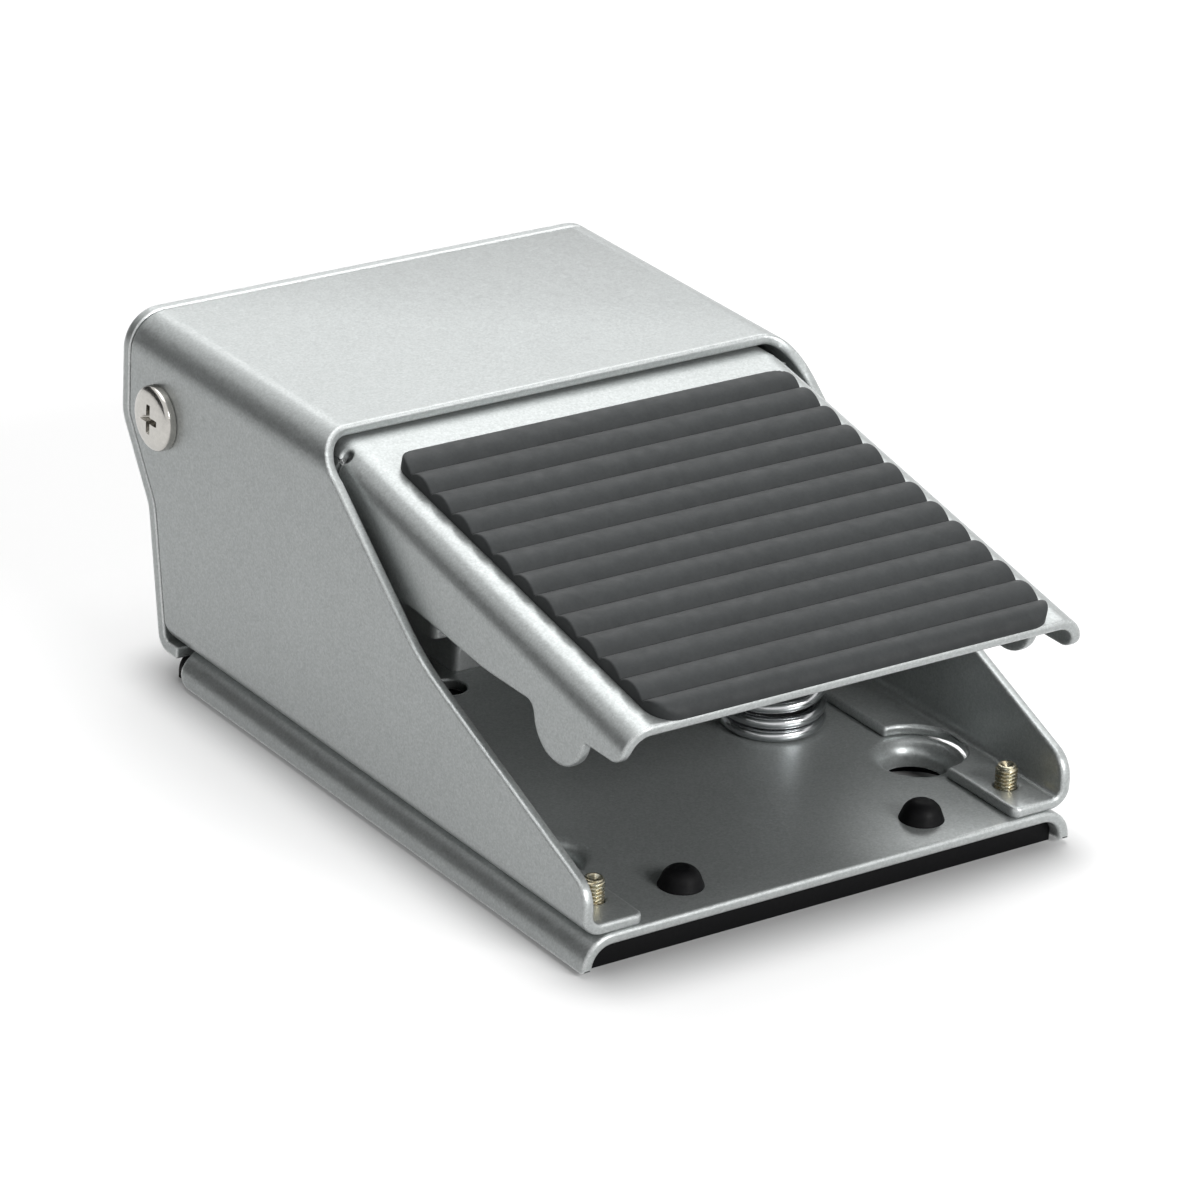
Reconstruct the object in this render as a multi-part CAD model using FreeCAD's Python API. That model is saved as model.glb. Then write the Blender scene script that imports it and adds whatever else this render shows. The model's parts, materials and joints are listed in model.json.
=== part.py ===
"""Foot pedal air valve.

A treadle of bent sheet with a ribbed rubber pad tips about a shaft near the rear of a sheet cover.
Its rear end presses the spool of a three-port valve, which stands on the base plate inside the cover.

Millimetres, +Z up, +Y to the rear, toe at -Y. The origin is on the floor, under the middle of the base.
"""

import math
import os

import FreeCAD
import Part

# Sheet metal
SHEET = 2.0                    # thickness of base, cover and pedal
SEAM_GAP = 0.3                 # gap between two sheet edges that meet at a seam
SEAT_GAP = 0.05                # play of a pin, screw or plug in its own hole

# Base plate with rolled sides and a back wall in one piece
BASE_WIDTH = 104.0
BASE_FRONT_Y = -68.3
PLATE_TOP = 7.2
ROLL_RADIUS = 6.0              # outside of the rolled long sides
SKIRT_STRAIGHT = 0.3           # upright edge below the roll
SKIRT_END_Y = 62.0
SKIRT_CORNER_RADIUS = 3.0
RELIEF_WIDTH = 1.4             # slot between a skirt's end and the wall's corner tab
WALL_INSET = 0.2               # how much narrower the back wall is than the base, each side
WALL_FOOT_Y = 69.5             # outer face of the wall at the level of the plate's underside
KNEE_BACK = 3.2                # outer face behind the pivot where the wall starts to slope back
KNEE_DROP = 34.5               # that place below the cover's top
HIP_BACK = 13.0                # outer face behind the pivot where the wall turns upright again
HIP_DROP = 19.7                # that place below the cover's top
WALL_FOOT_RADIUS = 3.3
WALL_KNEE_RADIUS = 6.0
WALL_HIP_RADIUS = 6.0
WINDOW_WIDTH = 38.0            # opening in the wall behind the valve's ports
WINDOW_BOTTOM = 10.5
WINDOW_TOP = 44.0
WINDOW_RADIUS = 5.0
DRAIN_RADIUS = 3.4
DRAIN_AT = (-17.2, 25.6)

# Floor mounting holes with a drawn collar
MOUNT_X = 39.7
MOUNT_Y = -39.2
MOUNT_RADIUS = 5.7
COLLAR_LIP_RADIUS = 3.0        # rounding from the plate's top into the collar
COLLAR_DEPTH = 4.6             # from the plate's top to the collar's lower end

# Cover
COVER_WIDTH = 103.6
COVER_TOP = 66.2
SHOULDER_RADIUS = 7.0          # outside of the bends along the top
TOP_SETBACK = 3.1              # front edge of the top behind the pedal's crease
COVER_FRONT_Y = -67.8
BROW_AHEAD = 7.3               # front edge at the shoulder bend's lower end, ahead of the top's
BROW_SLOPE_DEG = 38.5          # upper stretch of the side's front edge
CHEEK_START_Z = 16.0           # height of the side's front corner
CHEEK_SLOPE_DEG = 21.8         # lower stretch of the side's front edge
CHEEK_RADIUS = 45.0
TOE_RADIUS = 5.5
HEEL_RADIUS = 4.5              # lower rear corner of the cover's side
FLANGE_WIDTH = 12.3            # bottom flange, from the side's outer face
FLANGE_BEND_RADIUS = 3.75
FLANGE_CORNER_RADIUS = 4.0
FLANGE_CLEAR_RADIUS = 9.1      # notch in the flange round a mounting hole
SHOULDER_SLICES = 7

# Pedal
PEDAL_WIDTH = 96.8
PEDAL_BEND_RADIUS = 5.5
PEDAL_TILT_DEG = 11.0          # slope of the tread at rest
PEDAL_FRONT_Y = -72.0          # upper front edge of the tread
PEDAL_TOP_GAP = 0.6            # between the level rear part and the cover above it
PEDAL_REAR_Y = 65.0
RELIEF_HOLE_RADIUS = 1.2
SLIT_WIDTH = 1.0
SIDE_DEPTH = 30.0              # blank depth of the side flanges before trimming
TOE_DROP = 6.8                 # lower edge of the side at the toe, below the tread's front edge
TOE_CORNER_RADIUS = 3.5
LOBE_Y = -52.5                 # stop lobe on each side flange
LOBE_RADIUS = 6.2
LOBE_DROP = 13.7
LOBE_FLARE = 1.4               # how much wider the lobe is at its root, each side
LOBE_BLEND_RADIUS = 2.2
BELLY_DROP = 5.6               # lower edge just behind the lobe
BELLY_Y = -30.0
RISE_DROP = 3.3                # from here to the rear the lower edge is level again
RISE_Y = -8.0
EDGE_BLEND_RADIUS = 30.0
EAR_RADIUS = 9.0
EAR_FLAT = 0.02                # left between the two arcs of the ear's round end
EAR_NECK_RADIUS = 2.0

# Pedal pad
PAD_WIDTH = 83.6
PAD_LENGTH = 84.2
PAD_RIBS = 13
FRONT_RIB = 5.6                # length of the first rib, which is shorter than the others
PAD_NOSE = 0.7                 # thickness at the front edge
PAD_BASE = 1.2                 # thickness at the bottom of the grooves
PAD_HEIGHT = 2.6               # thickness at the top of the ribs
PAD_CORNER_RADIUS = 5.0
PAD_REAR_GAP = 6.26            # from the pad's rear edge to the pedal's crease, along the tread

# Pivot
PIVOT_Y = 71.0
PIVOT_DROP = 16.0              # below the cover's top
SHAFT_RADIUS = 5.0
BUSH_WALL = 1.5
BUSH_LENGTH = 3.6
BUSH_FLANGE_RADIUS = 8.4
BUSH_FLANGE = 1.0
BUSH_PLAY = 0.05               # running fit of the bush on the shaft
PIVOT_SCREW_RADIUS = 3.0
PIVOT_SCREW_LENGTH = 14.0
PIVOT_HEAD_RADIUS = 6.1
PIVOT_HEAD_HEIGHT = 3.2
PIVOT_HEAD_RIM = 1.3           # straight part of the head's side
SCREW_HOLE_PLAY = 0.25         # clearance holes in the sheets, on the radius

# Pedal spring
SPRING_X = 25.9
SPRING_Y = -14.5
SPRING_OUTER_RADIUS = 9.7
SPRING_WIRE = 2.3
SPRING_TURNS = 7.0
SPRING_STEPS = 12              # guide points in each turn
BOSS_PLAY = 0.4                # between a seat's boss and the inside of the coil
LOWER_BOSS_HEIGHT = 3.4
UPPER_BOSS_HEIGHT = 3.0
SEAT_STUD_RADIUS = 2.5
UPPER_SEAT_RIM = 1.0           # how far the upper seat stands out past the coil
UPPER_SEAT_EDGE = 3.4          # thickness of the wedge at its thin side
BOSS_ROUNDING = 1.0

# Rubber foot
FOOT_FRONT_Y = -65.6
FOOT_REAR_Y = 66.0
FOOT_SIDE_GAP = 0.3
ARCH_HEIGHT = 3.4
ARCH_DEPTH = 9.0
ARCH_RADIUS = 1.6
FRONT_ARCH = (-53.0, -39.0)
REAR_ARCH = (46.9, 53.6)
STUD_X = 25.75
STUD_FRONT_Y = -59.1
STUD_REAR_Y = 50.0
STUD_STEM_RADIUS = 2.5
STUD_HEAD_RADIUS = 4.1
STUD_HEAD_HEIGHT = 4.5
STUD_RIM_HEIGHT = 1.2
STUD_TOP_RADIUS = 1.6          # small flat on top of the head
STUD_ROOT = 2.6                # how far the stem runs down into the mat
GROOVE_WIDTH = 3.0
GROOVE_DEPTH = 1.2
GROOVE_COUNT = 6
GROOVE_PITCH = 12.0
GROOVE_LENGTH = 30.0
COLLAR_PLAY = 1.5              # round a collar in the rubber

# Small screws
M4_RADIUS = 2.0
M4_HEAD_RADIUS = 3.7           # countersunk, flush with the plate's underside
M4_HEAD_RIM = 0.2
M4_DRIVER_RADIUS = 3.2         # way through the rubber for the driver
M4_END_CHAMFER = 0.4
M4_CUP_RADIUS = 1.1
M4_CUP_DEPTH = 0.7
COVER_SCREW_TOP = 13.4
COVER_SCREW_X = 44.15
COVER_SCREW_FRONT_Y = -59.2
COVER_SCREW_REAR_Y = 52.0
VALVE_SCREW_REACH = 5.5        # into the valve body
VALVE_SCREWS = ((8.5, 36.8), (-8.5, 59.8))

# Valve; its chambers, lands and ports are given above the body's underside
VALVE_FOOT_WIDTH = 26.0
VALVE_FOOT_FRONT_Y = 30.3
BODY_WIDTH = 34.0
BODY_FRONT_Y = 31.7
BODY_REAR_Y = 65.5
BODY_HEIGHT = 34.0
BODY_EDGE_RADIUS = 1.5
SPOOL_Y = 47.0
BORE_RADIUS = 6.0
CHAMBER_RADIUS = 8.0
PLUG_RADIUS = 7.5
PLUG_HEIGHT = 4.0
SUPPLY_CHAMBER = (5.0, 11.2)
OUTLET_CHAMBER = (16.5, 20.5)
EXHAUST_CHAMBER = (24.0, 27.0)
PORT_RADIUS = 5.9              # tapping bore of a quarter-inch pipe thread
PORT_DEPTH = 11.0
PORT_DRILL_RADIUS = 3.2
PORT_X = 7.0
SUPPLY_RISE = 7.5
OUTLET_RISE = 19.5
EXHAUST_RADIUS = 2.1
EXHAUST_RISE = 25.5
GLAND_RADIUS = 8.0
GLAND_COLLAR_RADIUS = 9.5
GLAND_COLLAR_HEIGHT = 2.5
GLAND_GROOVE = (29.6, 31.6)
GLAND_GROOVE_RADIUS = 5.0
STEM_RADIUS = 3.0
SLIDE_PLAY = 0.05              # running fit of spool and stem
STEM_SEAL_WIRE = 0.9           # radius of the ring's section
SPOOL_NECK_RADIUS = 4.4
LOWER_LAND = (12.3, 15.7)
UPPER_LAND = (24.2, 26.8)
SPOOL_TAIL = 10.0              # lower end of the spool
SEAL_WIRE = 0.6                # radius of the ring's section
SPRING_POCKET_RADIUS = 3.4
SPRING_POCKET_TOP = 19.0
VALVE_SPRING_RADIUS = 3.1      # outside of the coil
VALVE_SPRING_WIRE = 0.7
VALVE_SPRING_TURNS = 5.0
CAP_RADIUS = 6.5
CAP_DOME_RADIUS = 8.0
CAP_HEIGHT = 5.7
CAP_GAP = 0.3                  # between the cap and the pedal's underside
CAP_ROOM = 5.1                 # free travel between the cap and the gland
CAP_SOCKET_DEPTH = 2.4

# Derived places
HALF_BASE = BASE_WIDTH / 2
HALF_COVER = COVER_WIDTH / 2
HALF_PEDAL = PEDAL_WIDTH / 2
HALF_PAD = PAD_WIDTH / 2
HALF_WINDOW = WINDOW_WIDTH / 2
HALF_WALL = HALF_BASE - WALL_INSET
PLATE_UNDER = PLATE_TOP - SHEET
SKIRT_BOTTOM = PLATE_TOP - ROLL_RADIUS - SKIRT_STRAIGHT
FLANGE_TOP = PLATE_TOP + SHEET
COVER_INSIDE = HALF_COVER - SHEET
TILT = math.radians(PEDAL_TILT_DEG)
PIVOT_Z = COVER_TOP - PIVOT_DROP
WALL_KNEE = (PIVOT_Y + KNEE_BACK, COVER_TOP - KNEE_DROP)
WALL_HIP = (PIVOT_Y + HIP_BACK, COVER_TOP - HIP_DROP)
PEDAL_TOP = COVER_TOP - SHEET - PEDAL_TOP_GAP
PEDAL_CREASE_Y = PEDAL_FRONT_Y + (PAD_LENGTH + PAD_REAR_GAP) * math.cos(TILT)
PEDAL_FRONT_Z = PEDAL_TOP - (PEDAL_CREASE_Y - PEDAL_FRONT_Y) * math.tan(TILT)
TOE_EDGE_Z = PEDAL_FRONT_Z - TOE_DROP
LOBE_BOTTOM = PEDAL_FRONT_Z - LOBE_DROP
BELLY_Z = PEDAL_FRONT_Z - BELLY_DROP
RISE_Z = PEDAL_FRONT_Z - RISE_DROP
TOP_FRONT_Y = PEDAL_CREASE_Y + TOP_SETBACK
BROW_Y = TOP_FRONT_Y - BROW_AHEAD
SEAT_FRONT_Y = SPRING_Y - SPRING_OUTER_RADIUS - UPPER_SEAT_RIM
SEAT_FRONT_TOP = PEDAL_TOP - (PEDAL_CREASE_Y - SEAT_FRONT_Y) * math.tan(TILT) - SHEET / math.cos(TILT)
SPRING_TOP = SEAT_FRONT_TOP - UPPER_SEAT_EDGE
CAP_TOP = PEDAL_TOP - SHEET - CAP_GAP
CAP_BOTTOM = CAP_TOP - CAP_HEIGHT
GLAND_TOP = CAP_BOTTOM - CAP_ROOM
BODY_BOTTOM = GLAND_TOP - GLAND_COLLAR_HEIGHT - BODY_HEIGHT
VALVE_SCREW_TOP = BODY_BOTTOM + VALVE_SCREW_REACH
COIL_INNER_RADIUS = SPRING_OUTER_RADIUS - SPRING_WIRE
MARGIN = 5.0                   # how far a cutting tool stands out past what it cuts
TOUCHING = 1e-6                # points nearer than this are the same point
SCREW_ROWS = (COVER_SCREW_FRONT_Y, COVER_SCREW_REAR_Y)
COVER_SCREWS = [(side * COVER_SCREW_X, y) for side in (-1, 1) for y in SCREW_ROWS]
STUDS = [(side * STUD_X, y) for side in (-1, 1) for y in (STUD_FRONT_Y, STUD_REAR_Y)]
MOUNTS = [(side * MOUNT_X, MOUNT_Y) for side in (-1, 1)]

X_AXIS = FreeCAD.Vector(1, 0, 0)
Y_AXIS = FreeCAD.Vector(0, 1, 0)
Z_AXIS = FreeCAD.Vector(0, 0, 1)


def yz(y, z):
    """A point of a side outline, at X = 0."""
    return FreeCAD.Vector(0, y, z)


def xz(x, z):
    """A point of a front outline, at Y = 0."""
    return FreeCAD.Vector(x, 0, z)


def xy(x, y):
    """A point of a plan outline, at Z = 0."""
    return FreeCAD.Vector(x, y, 0)


def unit(start, end):
    """Unit vector from one flat point to another."""
    length = math.hypot(end[0] - start[0], end[1] - start[1])
    return (end[0] - start[0]) / length, (end[1] - start[1]) / length


def turn(first, second):
    """Signed turn from one unit vector to another, in radians, positive to the left."""
    across = first[0] * second[1] - first[1] * second[0]
    ahead = first[0] * second[0] + first[1] * second[1]
    return math.atan2(across, ahead)


def rounded_corner(before, at, after, radius):
    """Start, middle and end of the arc of that radius that rounds a corner."""
    first = unit(before, at)
    second = unit(at, after)
    angle = turn(first, second)
    back = radius * math.tan(abs(angle) / 2)
    start = (at[0] - first[0] * back, at[1] - first[1] * back)
    end = (at[0] + second[0] * back, at[1] + second[1] * back)
    side = math.copysign(1, angle)
    centre = (start[0] - first[1] * radius * side, start[1] + first[0] * radius * side)
    out = unit(centre, at)
    middle = (centre[0] + out[0] * radius, centre[1] + out[1] * radius)
    return start, middle, end


def outline(corners, plane):
    """Closed face from corners (a, b, radius); a radius of 0 keeps the corner sharp."""
    points = [corner[:2] for corner in corners]
    stretches = []
    for index, (a, b, radius) in enumerate(corners):
        if radius > 0:
            following = points[(index + 1) % len(points)]
            stretches.append(rounded_corner(points[index - 1], (a, b), following, radius))
        else:
            stretches.append(((a, b), None, (a, b)))
    edges = []
    for index, (start, middle, end) in enumerate(stretches):
        following = stretches[(index + 1) % len(stretches)][0]
        if middle is not None:
            edges.append(Part.Arc(plane(*start), plane(*middle), plane(*end)).toShape())
        if math.dist(end, following) > TOUCHING:
            edges.append(Part.makeLine(plane(*end), plane(*following)))
    return Part.Face(Part.Wire(edges))


def beside(corners, distance):
    """The same path moved to its left by a distance, with the radii of concentric bends."""
    points = [corner[:2] for corner in corners]
    last = len(points) - 1
    moved = []
    for index, (a, b, radius) in enumerate(corners):
        first = unit(points[max(index - 1, 0)], points[max(index, 1)])
        second = unit(points[min(index, last - 1)], points[min(index + 1, last)])
        angle = turn(first, second)
        reach = distance * math.tan(angle / 2)
        new_radius = max(radius - math.copysign(distance, angle * distance), 0) if radius else 0
        new_a = a - first[1] * distance - first[0] * reach
        new_b = b + first[0] * distance - first[1] * reach
        moved.append((new_a, new_b, new_radius))
    return moved


def strip(corners, thickness, plane):
    """Section of bent sheet: the path through the corners, and the same path to its left."""
    return outline(corners + beside(corners, thickness)[::-1], plane)


def prism(face, direction, start, end):
    """A flat face pushed from one place to another along a direction."""
    moved = face.copy()
    moved.translate(direction * start)
    return moved.extrude(direction * (end - start))


def cylinder(radius, start, end, x, y):
    """Upright cylinder between two heights."""
    return Part.makeCylinder(radius, end - start, FreeCAD.Vector(x, y, start), Z_AXIS)


def along_x(radius, start, end, y, z):
    """Cylinder along X between two places."""
    return Part.makeCylinder(radius, end - start, FreeCAD.Vector(start, y, z), X_AXIS)


def along_y(radius, start, end, x, z):
    """Cylinder along Y between two places."""
    return Part.makeCylinder(radius, end - start, FreeCAD.Vector(x, start, z), Y_AXIS)


def turned(corners, x, y):
    """Solid turned about an upright axis, from corners (radius, z, rounding)."""
    solid = outline(corners, xz).revolve(FreeCAD.Vector(0, 0, 0), Z_AXIS, 360)
    return solid.translated(FreeCAD.Vector(x, y, 0))


def ring(middle_radius, section_radius, z, x, y):
    """Seal ring round an upright axis."""
    return Part.makeTorus(middle_radius, section_radius, FreeCAD.Vector(x, y, z), Z_AXIS)


def mirrored(shape):
    """The same shape on the other side of the middle plane."""
    return shape.mirror(FreeCAD.Vector(0, 0, 0), X_AXIS)


def coil(middle_radius, wire, turns, bottom, top, x, y):
    """Compression spring with closed ends: the first and last turn rise by the wire only."""
    rise = top - bottom - wire
    points = []
    for step in range(int(turns * SPRING_STEPS) + 1):
        at = step / SPRING_STEPS
        if at < 1:
            height = wire * at
        elif at > turns - 1:
            height = rise - wire * (turns - at)
        else:
            height = wire + (rise - 2 * wire) * (at - 1) / (turns - 2)
        angle = 2 * math.pi * at
        points.append(FreeCAD.Vector(x + middle_radius * math.cos(angle),
                                     y + middle_radius * math.sin(angle),
                                     bottom + wire / 2 + height))
    path = Part.BSplineCurve()
    path.interpolate(points)
    start = path.value(path.FirstParameter)
    heading = path.tangent(path.FirstParameter)[0]
    section = Part.Wire(Part.makeCircle(wire / 2, start, heading))
    return Part.Wire(path.toShape()).makePipeShell([section], True, True)


def wall_path():
    """Outer face of the back wall, from the plate's rear end up to the cover's top."""
    return [(SKIRT_END_Y, PLATE_UNDER, 0), (WALL_FOOT_Y, PLATE_UNDER, WALL_FOOT_RADIUS),
            WALL_KNEE + (WALL_KNEE_RADIUS,), WALL_HIP + (WALL_HIP_RADIUS,), (WALL_HIP[0], COVER_TOP, 0)]


def mount_collar(x, y):
    """Drawn collar of a mounting hole: the sheet rolls down and in."""
    top_radius = MOUNT_RADIUS + COLLAR_LIP_RADIUS
    corners = [(MOUNT_RADIUS, PLATE_TOP, COLLAR_LIP_RADIUS), (MOUNT_RADIUS, PLATE_TOP - COLLAR_DEPTH, 0),
               (MOUNT_RADIUS + SHEET, PLATE_TOP - COLLAR_DEPTH, 0),
               (MOUNT_RADIUS + SHEET, PLATE_UNDER, COLLAR_LIP_RADIUS - SHEET), (top_radius, PLATE_UNDER, 0),
               (top_radius, PLATE_TOP, 0)]
    return turned(corners, x, y)


def base_plate():
    """Plate with rolled sides, and the back wall bent up from its rear end."""
    rolled = strip([(HALF_BASE, SKIRT_BOTTOM, 0), (HALF_BASE, PLATE_TOP, ROLL_RADIUS),
                    (-HALF_BASE, PLATE_TOP, ROLL_RADIUS), (-HALF_BASE, SKIRT_BOTTOM, 0)], SHEET, xz)
    tray = prism(rolled, Y_AXIS, BASE_FRONT_Y, SKIRT_END_Y)
    corner_y = SKIRT_END_Y - SKIRT_CORNER_RADIUS
    corner_z = SKIRT_BOTTOM + SKIRT_CORNER_RADIUS
    corner = Part.makeBox(BASE_WIDTH, SKIRT_CORNER_RADIUS + MARGIN, SKIRT_CORNER_RADIUS + MARGIN,
                          FreeCAD.Vector(-HALF_BASE, corner_y, SKIRT_BOTTOM - MARGIN))
    tray = tray.cut(corner.cut(along_x(SKIRT_CORNER_RADIUS, -HALF_BASE, HALF_BASE, corner_y, corner_z)))

    wall = prism(strip(wall_path(), SHEET, yz), X_AXIS, -HALF_WALL, HALF_WALL)
    rear_view = outline([(-HALF_WALL, 0, 0), (HALF_WALL, 0, 0),
                         (HALF_WALL, COVER_TOP, SHOULDER_RADIUS),
                         (-HALF_WALL, COVER_TOP, SHOULDER_RADIUS)], xz)
    wall = wall.common(prism(rear_view, Y_AXIS, SKIRT_END_Y, WALL_HIP[0]))
    window = outline([(-HALF_WINDOW, WINDOW_BOTTOM, WINDOW_RADIUS),
                      (HALF_WINDOW, WINDOW_BOTTOM, WINDOW_RADIUS),
                      (HALF_WINDOW, WINDOW_TOP, WINDOW_RADIUS),
                      (-HALF_WINDOW, WINDOW_TOP, WINDOW_RADIUS)], xz)
    wall = wall.cut(prism(window, Y_AXIS, SKIRT_END_Y, WALL_HIP[0] + MARGIN))
    relief = outline([(HALF_BASE - ROLL_RADIUS, SKIRT_END_Y, RELIEF_WIDTH / 2), (HALF_BASE, SKIRT_END_Y, 0),
                      (HALF_BASE, SKIRT_END_Y + RELIEF_WIDTH, 0),
                      (HALF_BASE - ROLL_RADIUS, SKIRT_END_Y + RELIEF_WIDTH, RELIEF_WIDTH / 2)], xy)
    relief = prism(relief, Z_AXIS, 0, PLATE_TOP + MARGIN)
    wall = wall.cut(relief).cut(mirrored(relief))

    base = tray.fuse(wall)
    holes = [cylinder(MOUNT_RADIUS + COLLAR_LIP_RADIUS, 0, FLANGE_TOP, x, y) for x, y in MOUNTS]
    holes += [turned(screw_outline(SEAT_GAP, PLATE_UNDER - MARGIN, FLANGE_TOP, 0), x, y)
              for x, y in COVER_SCREWS + list(VALVE_SCREWS)]
    holes += [cylinder(STUD_STEM_RADIUS + SEAT_GAP, 0, FLANGE_TOP, x, y) for x, y in STUDS]
    holes.append(cylinder(SEAT_STUD_RADIUS + SEAT_GAP, 0, FLANGE_TOP, SPRING_X, SPRING_Y))
    holes.append(cylinder(DRAIN_RADIUS, 0, FLANGE_TOP, *DRAIN_AT))
    base = base.cut(holes)
    return base.fuse([mount_collar(x, y) for x, y in MOUNTS]).removeSplitter()


def rubber_foot():
    """Mat under the plate, with side arches, cross grooves and four studs pulled up through the plate."""
    half = HALF_BASE - SHEET - FOOT_SIDE_GAP
    shoulder = ROLL_RADIUS - SHEET - FOOT_SIDE_GAP + SEAT_GAP
    front_view = outline([(-half, 0, 0), (half, 0, 0), (half, PLATE_UNDER, shoulder),
                          (-half, PLATE_UNDER, shoulder)], xz)
    foot = prism(front_view, Y_AXIS, FOOT_FRONT_Y, FOOT_REAR_Y)
    cuts = []
    for start, end in (FRONT_ARCH, REAR_ARCH):
        arch = outline([(start, -MARGIN, 0), (end, -MARGIN, 0), (end, ARCH_HEIGHT, ARCH_RADIUS),
                        (start, ARCH_HEIGHT, ARCH_RADIUS)], yz)
        tool = prism(arch, X_AXIS, half - ARCH_DEPTH, half + MARGIN)
        cuts += [tool, mirrored(tool)]
    for index in range(GROOVE_COUNT):
        y = (index - (GROOVE_COUNT - 1) / 2) * GROOVE_PITCH
        groove = Part.makeBox(2 * GROOVE_LENGTH, GROOVE_WIDTH, GROOVE_DEPTH,
                              FreeCAD.Vector(-GROOVE_LENGTH, y - GROOVE_WIDTH / 2, 0))
        cuts.append(groove)
    cuts += [cylinder(MOUNT_RADIUS + SHEET + COLLAR_PLAY, 0, PLATE_UNDER, x, y) for x, y in MOUNTS]
    cuts += [cylinder(M4_DRIVER_RADIUS, 0, PLATE_UNDER, x, y) for x, y in COVER_SCREWS + list(VALVE_SCREWS)]
    foot = foot.cut(cuts)
    head_top = PLATE_TOP + STUD_HEAD_HEIGHT
    dome = min(STUD_HEAD_HEIGHT - STUD_RIM_HEIGHT, STUD_HEAD_RADIUS - STUD_TOP_RADIUS)
    stem_start = PLATE_UNDER - STUD_ROOT
    stud = [(0, stem_start, 0), (STUD_STEM_RADIUS, stem_start, 0), (STUD_STEM_RADIUS, PLATE_TOP, 0),
            (STUD_HEAD_RADIUS, PLATE_TOP, 0), (STUD_HEAD_RADIUS, head_top, dome), (0, head_top, 0)]
    return foot.fuse([turned(stud, x, y) for x, y in STUDS]).removeSplitter()


def shoulder_cut():
    """What is missing in front of the right shoulder bend, whose front edge runs round in a soft curve."""
    centre_x = HALF_COVER - SHOULDER_RADIUS
    centre_z = COVER_TOP - SHOULDER_RADIUS
    near = SHOULDER_RADIUS - 2 * SHEET
    far = SHOULDER_RADIUS + SHEET
    sections = []
    for index in range(SHOULDER_SLICES):
        share = index / (SHOULDER_SLICES - 1)
        angle = share * math.pi / 2
        edge_y = TOP_FRONT_Y + (BROW_Y - TOP_FRONT_Y) * share ** 2
        corners = []
        for radius, y in ((near, COVER_FRONT_Y), (far, COVER_FRONT_Y), (far, edge_y), (near, edge_y)):
            x = centre_x + radius * math.sin(angle)
            z = centre_z + radius * math.cos(angle)
            corners.append(FreeCAD.Vector(x, y, z))
        sections.append(Part.makePolygon(corners + corners[:1]))
    return Part.makeLoft(sections, True, False)


def cover_side():
    """Side view of the cover: its slanting front edge, and the rear edge along the back wall."""
    brow_z = COVER_TOP - SHOULDER_RADIUS
    brow_slope = math.tan(math.radians(BROW_SLOPE_DEG))
    cheek_slope = math.tan(math.radians(CHEEK_SLOPE_DEG))
    brow_start = brow_z - brow_slope * BROW_Y
    cheek_start = CHEEK_START_Z - cheek_slope * COVER_FRONT_Y
    cheek_y = (brow_start - cheek_start) / (cheek_slope - brow_slope)
    cheek_z = CHEEK_START_Z + cheek_slope * (cheek_y - COVER_FRONT_Y)
    rear = beside(wall_path(), SHEET + SEAM_GAP)
    lean = (rear[2][0] - rear[1][0]) / (rear[2][1] - rear[1][1])
    heel = (rear[1][0] + lean * (PLATE_TOP - rear[1][1]), PLATE_TOP, HEEL_RADIUS)
    return [(COVER_FRONT_Y, PLATE_TOP, 0), heel, rear[2], rear[3], (rear[4][0], COVER_TOP, 0),
            (BROW_Y, COVER_TOP, 0), (BROW_Y, brow_z, 0), (cheek_y, cheek_z, CHEEK_RADIUS),
            (COVER_FRONT_Y, CHEEK_START_Z, TOE_RADIUS)]


def cover():
    """Sheet bent to an inverted U, with bottom flanges bent inward."""
    inner = HALF_COVER - FLANGE_WIDTH
    section = strip([(inner, PLATE_TOP, 0), (HALF_COVER, PLATE_TOP, FLANGE_BEND_RADIUS),
                     (HALF_COVER, COVER_TOP, SHOULDER_RADIUS), (-HALF_COVER, COVER_TOP, SHOULDER_RADIUS),
                     (-HALF_COVER, PLATE_TOP, FLANGE_BEND_RADIUS), (-inner, PLATE_TOP, 0)], SHEET, xz)
    blank = prism(section, Y_AXIS, COVER_FRONT_Y, WALL_HIP[0])
    shell = blank.common(prism(outline(cover_side(), yz), X_AXIS, -HALF_COVER, HALF_COVER))

    shoulder_x = HALF_COVER - SHOULDER_RADIUS
    front = Part.makeBox(2 * shoulder_x, TOP_FRONT_Y - COVER_FRONT_Y, 2 * SHEET,
                         FreeCAD.Vector(-shoulder_x, COVER_FRONT_Y, COVER_TOP - SHEET - SEAM_GAP))
    shoulder = shoulder_cut()
    shell = shell.cut([front, shoulder, mirrored(shoulder)])

    corner = outline([(inner, COVER_FRONT_Y, 0), (inner + FLANGE_CORNER_RADIUS, COVER_FRONT_Y, 0),
                      (inner, COVER_FRONT_Y + FLANGE_CORNER_RADIUS, 0)], xy)
    corner = prism(corner, Z_AXIS, PLATE_TOP, FLANGE_TOP)
    holes = [corner, mirrored(corner)]
    holes += [cylinder(FLANGE_CLEAR_RADIUS, PLATE_TOP, FLANGE_TOP, x, y) for x, y in MOUNTS]
    holes += [cylinder(M4_RADIUS + SEAT_GAP, PLATE_TOP, FLANGE_TOP, x, y) for x, y in COVER_SCREWS]
    clearance = PIVOT_SCREW_RADIUS + SCREW_HOLE_PLAY
    holes.append(along_x(clearance, -HALF_COVER, HALF_COVER, PIVOT_Y, PIVOT_Z))
    return shell.cut(holes).removeSplitter()


def on_tread(along, up):
    """A point in the side view of the sloping tread, from its upper front edge."""
    return (PEDAL_FRONT_Y + along * math.cos(TILT) - up * math.sin(TILT),
            PEDAL_FRONT_Z + along * math.sin(TILT) + up * math.cos(TILT))


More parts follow.
